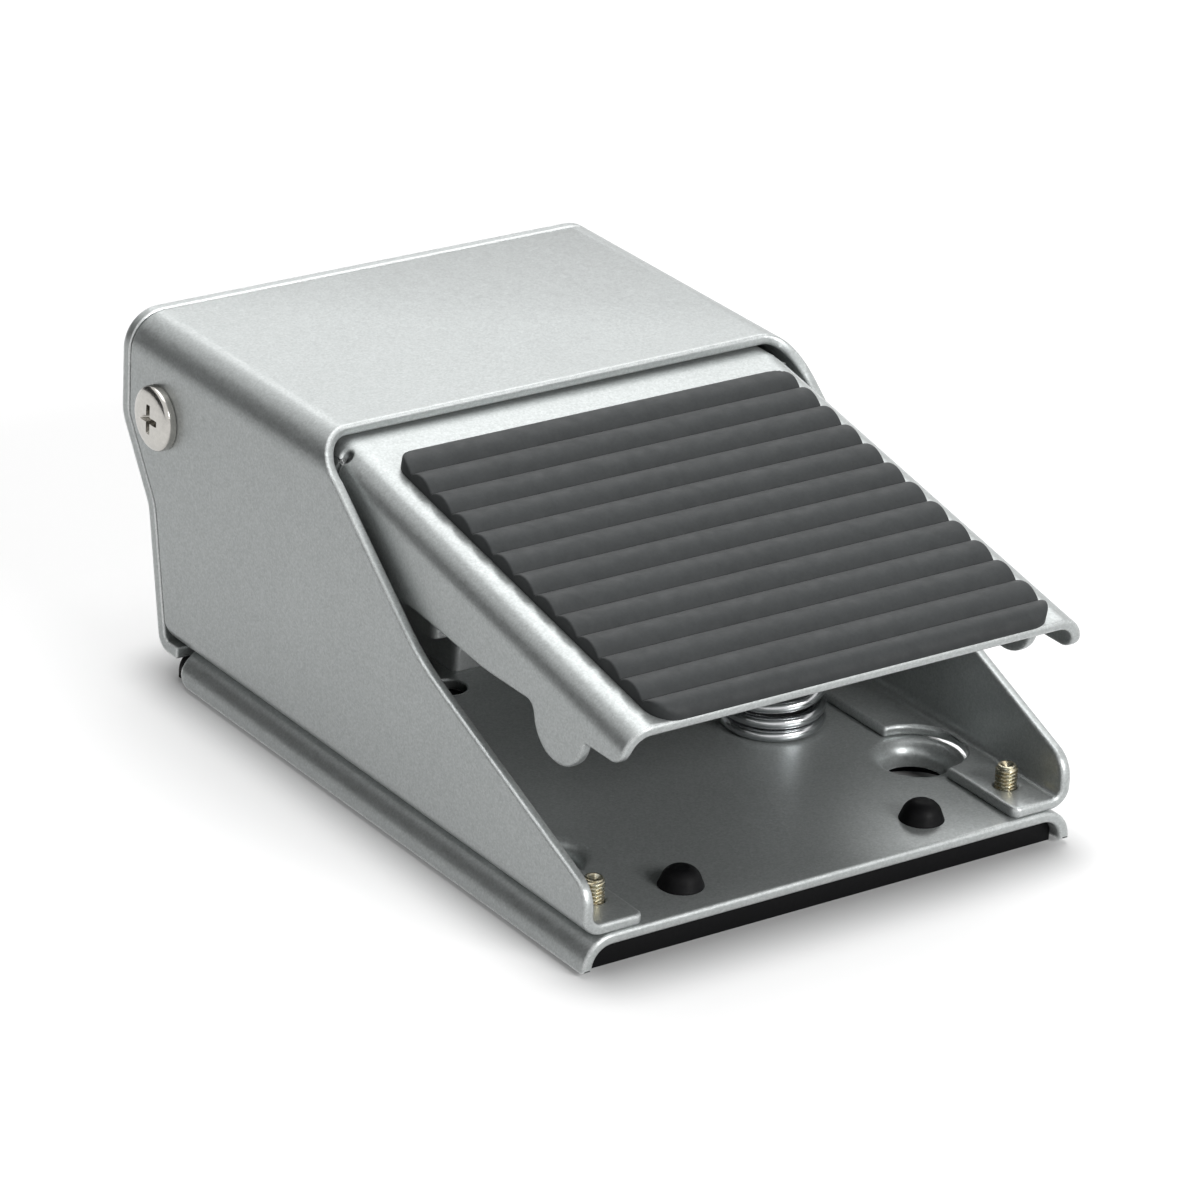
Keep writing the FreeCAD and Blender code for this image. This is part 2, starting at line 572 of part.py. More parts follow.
def to_tread(shape):
    """Put a shape that was drawn level, with its front edge at the origin, onto the tread's slope."""
    moved = shape.copy()
    moved.rotate(FreeCAD.Vector(0, 0, 0), X_AXIS, PEDAL_TILT_DEG)
    moved.translate(FreeCAD.Vector(0, PEDAL_FRONT_Y, PEDAL_FRONT_Z))
    return moved


def pedal_side():
    """Side view of the pedal: toe, stop lobe, lower edge and pivot ear."""
    toe = (PEDAL_FRONT_Y + (PEDAL_FRONT_Z - TOE_EDGE_Z) * math.tan(TILT), TOE_EDGE_Z)
    nose = on_tread(0, MARGIN)
    ear_top = PIVOT_Z + EAR_RADIUS
    ear_bottom = PIVOT_Z - EAR_RADIUS
    ear_rear = PIVOT_Y + EAR_RADIUS
    ear_corner = EAR_RADIUS - EAR_FLAT / 2
    front = LOBE_Y - LOBE_RADIUS
    rear = LOBE_Y + LOBE_RADIUS
    flank = math.atan2(LOBE_FLARE, BELLY_Z - LOBE_BOTTOM)
    tip_radius = LOBE_RADIUS / math.tan((math.pi / 2 - flank) / 2) - SEAT_GAP
    roof = PEDAL_TOP + MARGIN
    return [toe + (TOE_CORNER_RADIUS,), (front - LOBE_FLARE, TOE_EDGE_Z, 0),
            (front, LOBE_BOTTOM, tip_radius), (rear, LOBE_BOTTOM, tip_radius),
            (rear + LOBE_FLARE, BELLY_Z, LOBE_BLEND_RADIUS),
            (BELLY_Y, BELLY_Z, EDGE_BLEND_RADIUS), (RISE_Y, RISE_Z, EDGE_BLEND_RADIUS),
            (PEDAL_CREASE_Y, RISE_Z, 0), (PIVOT_Y - EAR_RADIUS, ear_bottom, 0),
            (ear_rear, ear_bottom, ear_corner), (ear_rear, ear_top, ear_corner),
            (PEDAL_REAR_Y, ear_top, EAR_NECK_RADIUS), (PEDAL_REAR_Y, roof, 0), (nose[0], roof, 0),
            nose + (0,)]


def pedal():
    """Bent sheet with side flanges, creased across where the level rear part meets the sloping tread."""
    section = strip([(HALF_PEDAL, -SIDE_DEPTH, 0), (HALF_PEDAL, 0, PEDAL_BEND_RADIUS),
                     (-HALF_PEDAL, 0, PEDAL_BEND_RADIUS), (-HALF_PEDAL, -SIDE_DEPTH, 0)], SHEET, xz)
    tread_length = (PEDAL_CREASE_Y - PEDAL_FRONT_Y) / math.cos(TILT)
    tread = to_tread(prism(section, Y_AXIS, 0, tread_length + SIDE_DEPTH))
    rear = prism(section, Y_AXIS, PEDAL_CREASE_Y - SIDE_DEPTH, PIVOT_Y + EAR_RADIUS)
    rear.translate(Z_AXIS * PEDAL_TOP)

    reach = 2 * SIDE_DEPTH + PIVOT_Y - PEDAL_FRONT_Y
    half_space = Part.makeBox(PEDAL_WIDTH, reach, 2 * reach, FreeCAD.Vector(-HALF_PEDAL, 0, -reach))
    half_space.rotate(FreeCAD.Vector(0, 0, 0), X_AXIS, PEDAL_TILT_DEG / 2)
    half_space.translate(FreeCAD.Vector(0, PEDAL_CREASE_Y, PEDAL_TOP))
    sheet = tread.cut(half_space).fuse(rear.common(half_space)).removeSplitter()
    sheet = sheet.common(prism(outline(pedal_side(), yz), X_AXIS, -HALF_PEDAL, HALF_PEDAL))

    shoulder = HALF_PEDAL - PEDAL_BEND_RADIUS
    reach_out = X_AXIS + Z_AXIS
    hole = Part.makeCylinder(RELIEF_HOLE_RADIUS, 2 * PEDAL_BEND_RADIUS, FreeCAD.Vector(0, 0, 0), reach_out)
    hole.translate(FreeCAD.Vector(shoulder, PEDAL_CREASE_Y, PEDAL_TOP - PEDAL_BEND_RADIUS))
    slit = Part.makeBox(PEDAL_BEND_RADIUS + SHEET, SLIT_WIDTH, SIDE_DEPTH,
                        FreeCAD.Vector(shoulder, -SLIT_WIDTH / 2, -SIDE_DEPTH - PEDAL_BEND_RADIUS / 2))
    slit.rotate(FreeCAD.Vector(0, 0, 0), X_AXIS, PEDAL_TILT_DEG / 2)
    slit.translate(FreeCAD.Vector(0, PEDAL_CREASE_Y, PEDAL_TOP))
    bores = along_x(SHAFT_RADIUS + BUSH_PLAY + BUSH_WALL, -HALF_PEDAL, HALF_PEDAL, PIVOT_Y, PIVOT_Z)
    return sheet.cut([hole, mirrored(hole), slit, mirrored(slit), bores])


def pedal_pad():
    """Rubber pad with low round ribs across the tread. The first rib rolls down to the thin front edge."""
    pitch = (PAD_LENGTH - FRONT_RIB) / (PAD_RIBS - 1)
    valleys = [FRONT_RIB + index * pitch for index in range(PAD_RIBS)]
    nose = yz(0, PAD_NOSE)
    edges = [Part.Arc(nose, yz(FRONT_RIB / 2, PAD_HEIGHT), yz(FRONT_RIB, PAD_BASE)).toShape()]
    for start, end in zip(valleys, valleys[1:]):
        crest = yz((start + end) / 2, PAD_HEIGHT)
        edges.append(Part.Arc(yz(start, PAD_BASE), crest, yz(end, PAD_BASE)).toShape())
    edges.append(Part.makeLine(yz(valleys[-1], PAD_BASE), yz(valleys[-1], 0)))
    edges.append(Part.makeLine(yz(valleys[-1], 0), yz(0, 0)))
    edges.append(Part.makeLine(yz(0, 0), nose))
    ribbed = prism(Part.Face(Part.Wire(edges)), X_AXIS, -HALF_PAD, HALF_PAD)
    plan = outline([(-HALF_PAD, 0, PAD_CORNER_RADIUS), (HALF_PAD, 0, PAD_CORNER_RADIUS),
                    (HALF_PAD, PAD_LENGTH, PAD_CORNER_RADIUS),
                    (-HALF_PAD, PAD_LENGTH, PAD_CORNER_RADIUS)], xy)
    return to_tread(ribbed.common(prism(plan, Z_AXIS, 0, PAD_HEIGHT)))


def pivot_shaft():
    """Shaft between the cover's sides, tapped at both ends."""
    shaft = along_x(SHAFT_RADIUS, -COVER_INSIDE, COVER_INSIDE, PIVOT_Y, PIVOT_Z)
    depth = PIVOT_SCREW_LENGTH + SHEET
    holes = []
    for start in (-COVER_INSIDE, COVER_INSIDE - depth):
        holes.append(along_x(PIVOT_SCREW_RADIUS + SEAT_GAP, start, start + depth, PIVOT_Y, PIVOT_Z))
    return shaft.cut(holes)


def pivot_screws():
    """Two pan-head screws that hold the shaft through the cover's sides."""
    corners = [(0, -PIVOT_SCREW_LENGTH, 0), (PIVOT_SCREW_RADIUS, -PIVOT_SCREW_LENGTH, M4_END_CHAMFER),
               (PIVOT_SCREW_RADIUS, 0, 0), (PIVOT_HEAD_RADIUS, 0, 0),
               (PIVOT_HEAD_RADIUS, PIVOT_HEAD_HEIGHT, PIVOT_HEAD_HEIGHT - PIVOT_HEAD_RIM),
               (0, PIVOT_HEAD_HEIGHT, 0)]
    screw = turned(corners, 0, 0)
    screw.rotate(FreeCAD.Vector(0, 0, 0), Y_AXIS, 90)
    screw.translate(FreeCAD.Vector(HALF_COVER, PIVOT_Y, PIVOT_Z))
    return Part.makeCompound([screw, mirrored(screw)])


def pivot_bushes():
    """Flanged bushes in the pedal's ears."""
    inner = SHAFT_RADIUS + BUSH_PLAY
    start = HALF_PEDAL - BUSH_LENGTH
    end = HALF_PEDAL + BUSH_FLANGE
    barrel = along_x(inner + BUSH_WALL, start, HALF_PEDAL, PIVOT_Y, PIVOT_Z)
    flange = along_x(BUSH_FLANGE_RADIUS, HALF_PEDAL, end, PIVOT_Y, PIVOT_Z)
    bore = along_x(inner, start, end, PIVOT_Y, PIVOT_Z)
    bush = barrel.fuse(flange).cut(bore).removeSplitter()
    return Part.makeCompound([bush, mirrored(bush)])


def pedal_spring():
    """Return spring between the base plate and the pedal."""
    middle = SPRING_OUTER_RADIUS - SPRING_WIRE / 2
    return coil(middle, SPRING_WIRE, SPRING_TURNS, PLATE_TOP, SPRING_TOP, SPRING_X, SPRING_Y)


def spring_seat_lower():
    """Moulded boss that keeps the spring's lower end in place, snapped into the plate."""
    radius = COIL_INNER_RADIUS - BOSS_PLAY
    top = PLATE_TOP + LOWER_BOSS_HEIGHT
    corners = [(0, PLATE_UNDER, 0), (SEAT_STUD_RADIUS, PLATE_UNDER, 0), (SEAT_STUD_RADIUS, PLATE_TOP, 0),
               (radius, PLATE_TOP, 0), (radius, top, BOSS_ROUNDING), (0, top, 0)]
    return turned(corners, SPRING_X, SPRING_Y)


def spring_seat_upper():
    """Wedge-shaped seat under the tread: level below, sloping with the tread above."""
    rim = cylinder(SPRING_OUTER_RADIUS + UPPER_SEAT_RIM, SPRING_TOP, PEDAL_TOP, SPRING_X, SPRING_Y)
    radius = COIL_INNER_RADIUS - BOSS_PLAY
    bottom = SPRING_TOP - UPPER_BOSS_HEIGHT
    corners = [(0, bottom, 0), (radius, bottom, BOSS_ROUNDING), (radius, SPRING_TOP, 0), (0, SPRING_TOP, 0)]
    boss = turned(corners, SPRING_X, SPRING_Y)
    above = to_tread(Part.makeBox(PEDAL_WIDTH, PEDAL_CREASE_Y - PEDAL_FRONT_Y, PEDAL_TOP,
                                  FreeCAD.Vector(-HALF_PEDAL, 0, -SHEET)))
    return rim.cut(above).fuse(boss).removeSplitter()


def screw_outline(play, bottom, top, chamfer):
    """Half section of a countersunk screw, or of the hole for it when there is play."""
    head = M4_HEAD_RADIUS + play
    shank = M4_RADIUS + play
    rim = PLATE_UNDER + M4_HEAD_RIM
    return [(0, bottom, 0), (head, bottom, 0), (head, rim, 0), (shank, rim + head - shank, 0),
            (shank, top, chamfer), (0, top, 0)]


def screw_up(top, x, y):
    """Countersunk screw from below the plate, with a small cup in its upper end."""
    cup = Part.makeCone(0, M4_CUP_RADIUS, M4_CUP_DEPTH, FreeCAD.Vector(x, y, top - M4_CUP_DEPTH), Z_AXIS)
    return turned(screw_outline(0, PLATE_UNDER, top, M4_END_CHAMFER), x, y).cut(cup)


def cover_screws():
    """Screws that hold the cover's flanges to the base plate."""
    return Part.makeCompound([screw_up(COVER_SCREW_TOP, x, y) for x, y in COVER_SCREWS])


def valve_screws():
    """Screws that hold the valve to the base plate."""
    return Part.makeCompound([screw_up(VALVE_SCREW_TOP, x, y) for x, y in VALVE_SCREWS])


def block(width, front, rear, bottom, top):
    """Upright block with softly rounded upright edges."""
    plan = outline([(-width / 2, front, BODY_EDGE_RADIUS), (width / 2, front, BODY_EDGE_RADIUS),
                    (width / 2, rear, BODY_EDGE_RADIUS), (-width / 2, rear, BODY_EDGE_RADIUS)], xy)
    return prism(plan, Z_AXIS, bottom, top)


def screw_bores(bottom, top):
    """Tapped bores round the valve's screws."""
    return [cylinder(M4_RADIUS + SEAT_GAP, bottom, top, x, y) for x, y in VALVE_SCREWS]


def raised(shape):
    """A piece of the valve, drawn from the body's underside, put at the body's height."""
    return shape.translated(Z_AXIS * BODY_BOTTOM)


def valve_foot():
    """Narrow block that lifts the valve off the plate."""
    foot = block(VALVE_FOOT_WIDTH, VALVE_FOOT_FRONT_Y, BODY_REAR_Y, PLATE_TOP, BODY_BOTTOM)
    return foot.cut(screw_bores(PLATE_TOP, BODY_BOTTOM))


def valve_body():
    """Valve block with an upright spool bore, three ring chambers and its ports."""
    body = block(BODY_WIDTH, BODY_FRONT_Y, BODY_REAR_Y, 0, BODY_HEIGHT)
    cuts = [cylinder(BORE_RADIUS, 0, BODY_HEIGHT, 0, SPOOL_Y)]
    cuts.append(cylinder(PLUG_RADIUS + SEAT_GAP, 0, PLUG_HEIGHT, 0, SPOOL_Y))
    cuts.append(cylinder(GLAND_RADIUS + SEAT_GAP, EXHAUST_CHAMBER[1], BODY_HEIGHT, 0, SPOOL_Y))
    for bottom, top in (SUPPLY_CHAMBER, OUTLET_CHAMBER, EXHAUST_CHAMBER):
        cuts.append(cylinder(CHAMBER_RADIUS, bottom, top, 0, SPOOL_Y))
    for x, z in ((PORT_X, SUPPLY_RISE), (-PORT_X, OUTLET_RISE)):
        cuts.append(along_y(PORT_RADIUS, BODY_REAR_Y - PORT_DEPTH, BODY_REAR_Y, x, z))
        cuts.append(along_y(PORT_DRILL_RADIUS, SPOOL_Y, BODY_REAR_Y, x, z))
    cuts.append(along_x(EXHAUST_RADIUS, 0, BODY_WIDTH / 2, SPOOL_Y, EXHAUST_RISE))
    cuts += screw_bores(0, VALVE_SCREW_REACH + M4_CUP_DEPTH)
    return raised(body.cut(cuts))


def valve_gland():
    """Screwed bush that guides the stem and closes the top of the bore."""
    bottom = EXHAUST_CHAMBER[1]
    top = BODY_HEIGHT + GLAND_COLLAR_HEIGHT
    bore = STEM_RADIUS + SLIDE_PLAY
    corners = [(bore, bottom, 0), (GLAND_RADIUS, bottom, 0), (GLAND_RADIUS, BODY_HEIGHT, 0),
               (GLAND_COLLAR_RADIUS, BODY_HEIGHT, 0), (GLAND_COLLAR_RADIUS, top, 0), (bore, top, 0),
               (bore, GLAND_GROOVE[1], 0), (GLAND_GROOVE_RADIUS, GLAND_GROOVE[1], 0),
               (GLAND_GROOVE_RADIUS, GLAND_GROOVE[0], 0), (bore, GLAND_GROOVE[0], 0)]
    return raised(turned(corners, 0, SPOOL_Y))


def stem_seal():
    """Seal ring in the gland's groove."""
    middle = STEM_RADIUS + SLIDE_PLAY + STEM_SEAL_WIRE
    return raised(ring(middle, STEM_SEAL_WIRE, sum(GLAND_GROOVE) / 2, 0, SPOOL_Y))


def plug_ring(section_radius):
    """Ring half way up the bottom plug, flush with its side: its seal, or the groove for it."""
    return ring(PLUG_RADIUS - SEAL_WIRE, section_radius, PLUG_HEIGHT / 2, 0, SPOOL_Y)


def bottom_plug():
    """Plug that closes the bore below, with a groove for its seal ring."""
    plug = cylinder(PLUG_RADIUS, 0, PLUG_HEIGHT, 0, SPOOL_Y)
    return raised(plug.cut(plug_ring(SEAL_WIRE + SEAT_GAP)))


def plug_seal():
    """Seal ring round the bottom plug."""
    return raised(plug_ring(SEAL_WIRE))


def land_rings(section_radius):
    """Rings half way up the spool's two lands, flush with them: their seals, or the grooves for them."""
    middle = BORE_RADIUS - SLIDE_PLAY - SEAL_WIRE
    return [ring(middle, section_radius, sum(land) / 2, 0, SPOOL_Y) for land in (LOWER_LAND, UPPER_LAND)]


def valve_spool():
    """Spool with two lands, a hollow tail over the return spring, and the stem that the cap pushes."""
    land = BORE_RADIUS - SLIDE_PLAY
    neck = SPOOL_NECK_RADIUS
    stem_top = CAP_BOTTOM + CAP_SOCKET_DEPTH - BODY_BOTTOM
    corners = [(0, SPRING_POCKET_TOP, 0), (SPRING_POCKET_RADIUS, SPRING_POCKET_TOP, 0),
               (SPRING_POCKET_RADIUS, SPOOL_TAIL, 0), (neck, SPOOL_TAIL, 0), (neck, LOWER_LAND[0], 0),
               (land, LOWER_LAND[0], 0), (land, LOWER_LAND[1], 0), (neck, LOWER_LAND[1], 0),
               (neck, UPPER_LAND[0], 0), (land, UPPER_LAND[0], 0), (land, UPPER_LAND[1], 0),
               (STEM_RADIUS, UPPER_LAND[1], 0), (STEM_RADIUS, stem_top, 0), (0, stem_top, 0)]
    return raised(turned(corners, 0, SPOOL_Y).cut(land_rings(SEAL_WIRE + SEAT_GAP)))


def spool_seals():
    """Seal rings on the spool's lands."""
    return raised(Part.makeCompound(land_rings(SEAL_WIRE)))


def valve_spring():
    """Return spring in the spool's tail."""
    middle = VALVE_SPRING_RADIUS - VALVE_SPRING_WIRE / 2
    spring = coil(middle, VALVE_SPRING_WIRE, VALVE_SPRING_TURNS, PLUG_HEIGHT, SPRING_POCKET_TOP, 0, SPOOL_Y)
    return raised(spring)


def plunger_cap():
    """Domed cap on the stem: the dome rolls under the pedal's rear plate as it tips."""
    dome = Part.makeSphere(CAP_DOME_RADIUS, FreeCAD.Vector(0, SPOOL_Y, CAP_TOP - CAP_DOME_RADIUS))
    cap = cylinder(CAP_RADIUS, CAP_BOTTOM, CAP_TOP, 0, SPOOL_Y).common(dome)
    return cap.cut(cylinder(STEM_RADIUS + SEAT_GAP, CAP_BOTTOM, CAP_BOTTOM + CAP_SOCKET_DEPTH, 0, SPOOL_Y))


NODES = (base_plate, rubber_foot, cover, pedal, pedal_pad, pivot_shaft, pivot_screws, pivot_bushes,
         pedal_spring, spring_seat_lower, spring_seat_upper, cover_screws, valve_screws, valve_foot,
         valve_body, valve_gland, stem_seal, bottom_plug, plug_seal, valve_spool, spool_seals,
         valve_spring, plunger_cap)


def main():
    """Write one STEP file for each piece."""
    os.makedirs("parts", exist_ok=True)
    for make in NODES:
        make().exportStep(f"parts/{make.__name__}.step")


if __name__ == "__main__":
    main()
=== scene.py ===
"""Foot pedal air valve: the finish of every surface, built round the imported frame.

Metres, +Z up, +Y to the rear. The tread pad, springs, screws and port threads are worked out here as
surfaces. The sheet metal and the rubber foot are copies of the frame's own pieces with a few points moved
and sheared edges rounded. The rest are the frame's own pieces with finishes on them.
"""

import json
import math

import bmesh
import bpy
import numpy as np
from mathutils import Matrix, Vector


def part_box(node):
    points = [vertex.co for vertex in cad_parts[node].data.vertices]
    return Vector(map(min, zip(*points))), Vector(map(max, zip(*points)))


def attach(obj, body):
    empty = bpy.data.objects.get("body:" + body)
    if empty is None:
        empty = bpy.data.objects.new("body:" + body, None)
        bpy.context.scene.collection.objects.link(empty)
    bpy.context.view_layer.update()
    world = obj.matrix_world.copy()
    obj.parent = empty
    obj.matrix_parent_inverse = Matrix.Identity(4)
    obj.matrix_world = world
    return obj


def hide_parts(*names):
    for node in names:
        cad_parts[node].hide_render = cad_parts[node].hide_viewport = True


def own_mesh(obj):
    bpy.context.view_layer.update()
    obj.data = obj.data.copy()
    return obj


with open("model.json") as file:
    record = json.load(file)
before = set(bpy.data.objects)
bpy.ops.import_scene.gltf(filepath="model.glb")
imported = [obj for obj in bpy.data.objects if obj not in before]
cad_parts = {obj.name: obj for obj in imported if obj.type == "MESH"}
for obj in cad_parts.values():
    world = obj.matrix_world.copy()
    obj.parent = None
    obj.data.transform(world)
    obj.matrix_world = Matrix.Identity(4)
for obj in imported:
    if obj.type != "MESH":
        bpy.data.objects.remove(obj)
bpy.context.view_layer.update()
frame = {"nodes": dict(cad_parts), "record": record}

bl_info = {
    "name": "Foot pedal air valve",
    "version": (1, 0, 0),
    "blender": (4, 5, 0),
    "location": "3D View > Sidebar > Pedal valve",
    "description": "Builds the finish of a foot pedal air valve round its packed frame",
    "category": "Object",
}

MM = 0.001
ROUND = 2 * math.pi
SHARP_ANGLE = math.radians(38)     # a fold sharper than this is shaded as an edge
EDGE_ANGLE = math.radians(35)      # a fold sharper than this is a sheared edge
FLAT_ANGLE = math.radians(0.3)     # a fold flatter than this isn't a fold
MERGE = 1e-7                       # points nearer than this, in metres, are one point
WELD = 2e-6                        # the same for the frame's own triangles
EVERYWHERE = 1.0                   # a Y that lies behind the whole object
STEPS_PER_TURN = 72                # of a spring's wire
WIRE_SIDES = 20
PLATE_HEAD = 3.7 * MM              # radius of a small screw's countersunk head
LAMP_AIM = (0, 0, 30 * MM)
CAMERA_AIM = (0, 0, 35 * MM)
FRAME = 1200                       # width of the photograph's frame in pixels
CAMERA_SHIFT = (-14.903, -20.414)  # of the picture's middle, in those pixels


# Sizes and colours that a user would change

def size_mm(label, text, value):
    """A setting in metres, from a value in millimetres."""
    return bpy.props.FloatProperty(name=label, description=text, default=value * MM, unit="LENGTH")


def degrees(label, text, value):
    """An angle setting, from a value in degrees."""
    return bpy.props.FloatProperty(name=label, description=text, default=math.radians(value),
                                   subtype="ANGLE")


def number(label, text, value, unit="NONE"):
    """A setting that is a plain number, or one with a unit."""
    return bpy.props.FloatProperty(name=label, description=text, default=value, unit=unit)


def colour(label, text, value):
    """A colour setting."""
    return bpy.props.FloatVectorProperty(name=label, description=text, default=value, size=3,
                                         subtype="COLOR", min=0, max=1)


class PadSizes(bpy.types.PropertyGroup):
    ribs: bpy.props.IntProperty(name="Ribs", description="Ribs across the tread", default=13, min=3)
    first_rib: size_mm("First rib", "Length of the front rib", 5.6)
    groove: size_mm("Groove", "Thickness at the bottom of a groove", 1.2)
    crest: size_mm("Crest", "Thickness at the top of a rib", 2.6)
    nose: size_mm("Nose", "Thickness at the front edge", 0.7)
    length: size_mm("Length", "Length along the tread", 84.2)
    corner: size_mm("Corner", "Corner radius seen from above", 5.0)
    edge: size_mm("Edge", "Rounding of the upper edges", 0.4)
    tilt: degrees("Tilt", "Slope of the tread at rest", 11)


class SpringSizes(bpy.types.PropertyGroup):
    wire: size_mm("Wire", "Wire of the pedal spring", 2.3)
    turns: number("Turns", "Turns of the pedal spring", 7.0)
    start: degrees("Start", "Where the lower end of the wire lies", 140)
    valve_wire: size_mm("Valve wire", "Wire of the valve's spring", 0.7)
    valve_turns: number("Valve turns", "Turns of the valve's spring", 5.0)


class ScrewSizes(bpy.types.PropertyGroup):
    cross_reach: size_mm("Cross reach", "From the middle to an arm's end", 2.9)
    cross_width: size_mm("Cross width", "Half the width of an arm", 0.62)
    cross_depth: size_mm("Cross depth", "Depth of the cross recess", 2.3)
    pan_pitch: size_mm("Pivot pitch", "Thread pitch of the pivot screws", 1.0)
    plate_pitch: size_mm("Plate pitch", "Thread pitch of the small screws", 0.7)
    pipe_pitch: size_mm("Pipe pitch", "Thread pitch of the air ports", 1.337)


class FinishColours(bpy.types.PropertyGroup):
    coat: colour("Coat", "Silver grey powder coat of the sheet metal", (0.395, 0.415, 0.412))
    # painted highlight: near-white colour put on the coat along its rounded edges
    coat_edge_highlight: colour("Coat edge", "The coat where it rounds a sheared edge", (0.84, 0.86, 0.855))
    pad: colour("Pad", "Rubber of the tread pad", (0.030, 0.033, 0.034))
    mat: colour("Mat", "Rubber of the foot and its studs", (0.0030, 0.0030, 0.0034))
    nickel: colour("Nickel", "Nickel plate of the pivot screws", (0.52, 0.505, 0.475))
    wire: colour("Wire", "Bright drawn spring wire", (0.60, 0.61, 0.62))
    zinc: colour("Zinc", "Yellow zinc plate of the small screws", (0.56, 0.49, 0.34))
    moulded: colour("Moulded", "Black moulded plastic", (0.022, 0.022, 0.024))
    alloy: colour("Alloy", "Blasted aluminium of the valve", (0.74, 0.75, 0.75))
    brass: colour("Brass", "Turned brass", (0.60, 0.42, 0.16))
    seal: colour("Seal", "Rubber of the seals", (0.012, 0.012, 0.012))


class StageSettings(bpy.types.PropertyGroup):
    floor: colour("Floor", "Colour of the floor", (0.60, 0.60, 0.60))
    overhead: number("Overhead", "Power of the overhead lamp", 10.0, "POWER")
    front: number("Front", "Power of the front lamp", 18.0, "POWER")
    rear: number("Rear", "Power of the rear lamp", 6.0, "POWER")
    sky: number("Sky", "Strength of the even light", 0.14)
    glow: number("Floor glow", "Strength of the floor's own light", 0.50)
    lens: number("Lens", "Focal length", 180.0, "CAMERA")
    azimuth: degrees("Azimuth", "Where the camera stands, from the front", -36.027)
    height: degrees("Height", "How steeply the camera looks down", 24.151)
    roll: degrees("Roll", "Turn of the camera about its line of sight", 3.049)
    distance: size_mm("Distance", "From the camera to the object's middle", 1065.04)


# Surfaces

def closed_mesh(name, sheets, finish):
    """One mesh from grids of points (rows, columns, 3), with a UV map of row and column shares.

    Doubles are merged, so seams and poles close, and the faces are turned outwards."""
    mesh = bpy.data.meshes.new(name)
    points = np.concatenate([sheet.reshape(-1, 3) for sheet in sheets])
    quads, shares, first = [], [], 0
    for sheet in sheets:
        rows, columns = sheet.shape[:2]
        at = first + np.arange(rows * columns).reshape(rows, columns)
        quads.append(np.stack([at[:-1, :-1], at[1:, :-1], at[1:, 1:], at[:-1, 1:]], -1).reshape(-1, 4))
        down, across = np.meshgrid(np.linspace(0, 1, rows), np.linspace(0, 1, columns), indexing="ij")
        shares.append(np.stack([down, across], -1).reshape(-1, 2))
        first += rows * columns
    corners = np.concatenate(quads).astype(np.int32)
    mesh.vertices.add(len(points))
    mesh.vertices.foreach_set("co", points.astype(np.float32).ravel())
    mesh.loops.add(corners.size)
    mesh.loops.foreach_set("vertex_index", corners.ravel())
    mesh.polygons.add(len(corners))
    mesh.polygons.foreach_set("loop_start", np.arange(0, corners.size, 4, dtype=np.int32))
    mesh.update(calc_edges=True)
    uv = mesh.uv_layers.new(name="along")
    uv.data.foreach_set("uv", np.concatenate(shares)[corners.ravel()].astype(np.float32).ravel())
    build = bmesh.new()
    build.from_mesh(mesh)
    bmesh.ops.remove_doubles(build, verts=build.verts, dist=MERGE)
    bmesh.ops.dissolve_degenerate(build, edges=build.edges, dist=MERGE)
    bmesh.ops.recalc_face_normals(build, faces=build.faces)
    build.to_mesh(mesh)
    build.free()
    mesh.validate()
    mesh.shade_smooth()
    mesh.set_sharp_from_angle(angle=SHARP_ANGLE)
    mesh.materials.append(finish)
    piece = bpy.data.objects.new(name, mesh)
    bpy.context.scene.collection.objects.link(piece)
    return piece


def stood(points, matrix):
    """The points turned and moved by a matrix."""
    turn = np.array(matrix)
    return points @ turn[:3, :3].T + turn[:3, 3]


def turned(radius, height, angles):
    """A surface of rings about the Z axis: radius and height for each ring and angle."""
    return np.stack([radius * np.cos(angles), radius * np.sin(angles), height], -1)


def with_rings(radius, level, corners):
    """The rings of radius and level, and after them a plain ring for each corner (radius, level)."""
    ring = np.ones((1, radius.shape[1]))
    return (np.concatenate([radius, *(ring * wide for wide, high in corners)]),
            np.concatenate([level, *(ring * high for wide, high in corners)]))


def thread_radius(height, angles, low, high, pitch, crest, root):
    """Radius of a right-handed thread: a V wave of height / pitch - angle / full turn, with flats on its
    crest and root. It fades out over one pitch at its two ends."""
    root_flat, flank = 0.15, 0.62
    phase = height / pitch - angles / ROUND
    wave = np.abs(2 * (phase - np.floor(phase)) - 1)
    wave = np.clip((wave - root_flat) / flank, 0, 1)
    fade = np.clip((height - low) / pitch, 0, 1) * np.clip((high - height) / pitch, 0, 1)
    return root + (crest - root) * wave * fade


def cross_outline(angles, reach, half_width):
    """Radius of a cross: near an arm's middle line the arm's end, reach / cos, elsewhere its side,
    half_width / sin, joined by a soft minimum."""
    sharpness, least = 12.0, 1e-3
    off = np.mod(angles + math.pi / 4, math.pi / 2) - math.pi / 4
    side = half_width / np.maximum(np.abs(np.sin(off)), least)
    end = reach / np.cos(off)
    return (side ** -sharpness + end ** -sharpness) ** (-1 / sharpness)


def recess(angles, surface, sizes, scale):
    """Rings of a cross recess from its lowest point up to its rim on the surface height(radius).

    The cross shrinks towards the bottom, as the driver's tip does."""
    reach_taper, width_taper, tip = 0.52, 0.25, 0.25 * MM
    share = np.linspace(1, 0, 9)[:, None]
    reach = scale * sizes.cross_reach * (1 - reach_taper * share)
    width = scale * sizes.cross_width * (1 - width_taper * share)
    radius = cross_outline(angles, reach, width)
    top = surface(radius[-1])
    height = top[None, :] - scale * sizes.cross_depth * share
    middle = np.full((1, len(angles)), height.min() - tip * scale)
    radius = np.concatenate([np.zeros((1, len(angles))), radius])
    return radius, np.concatenate([middle, height])


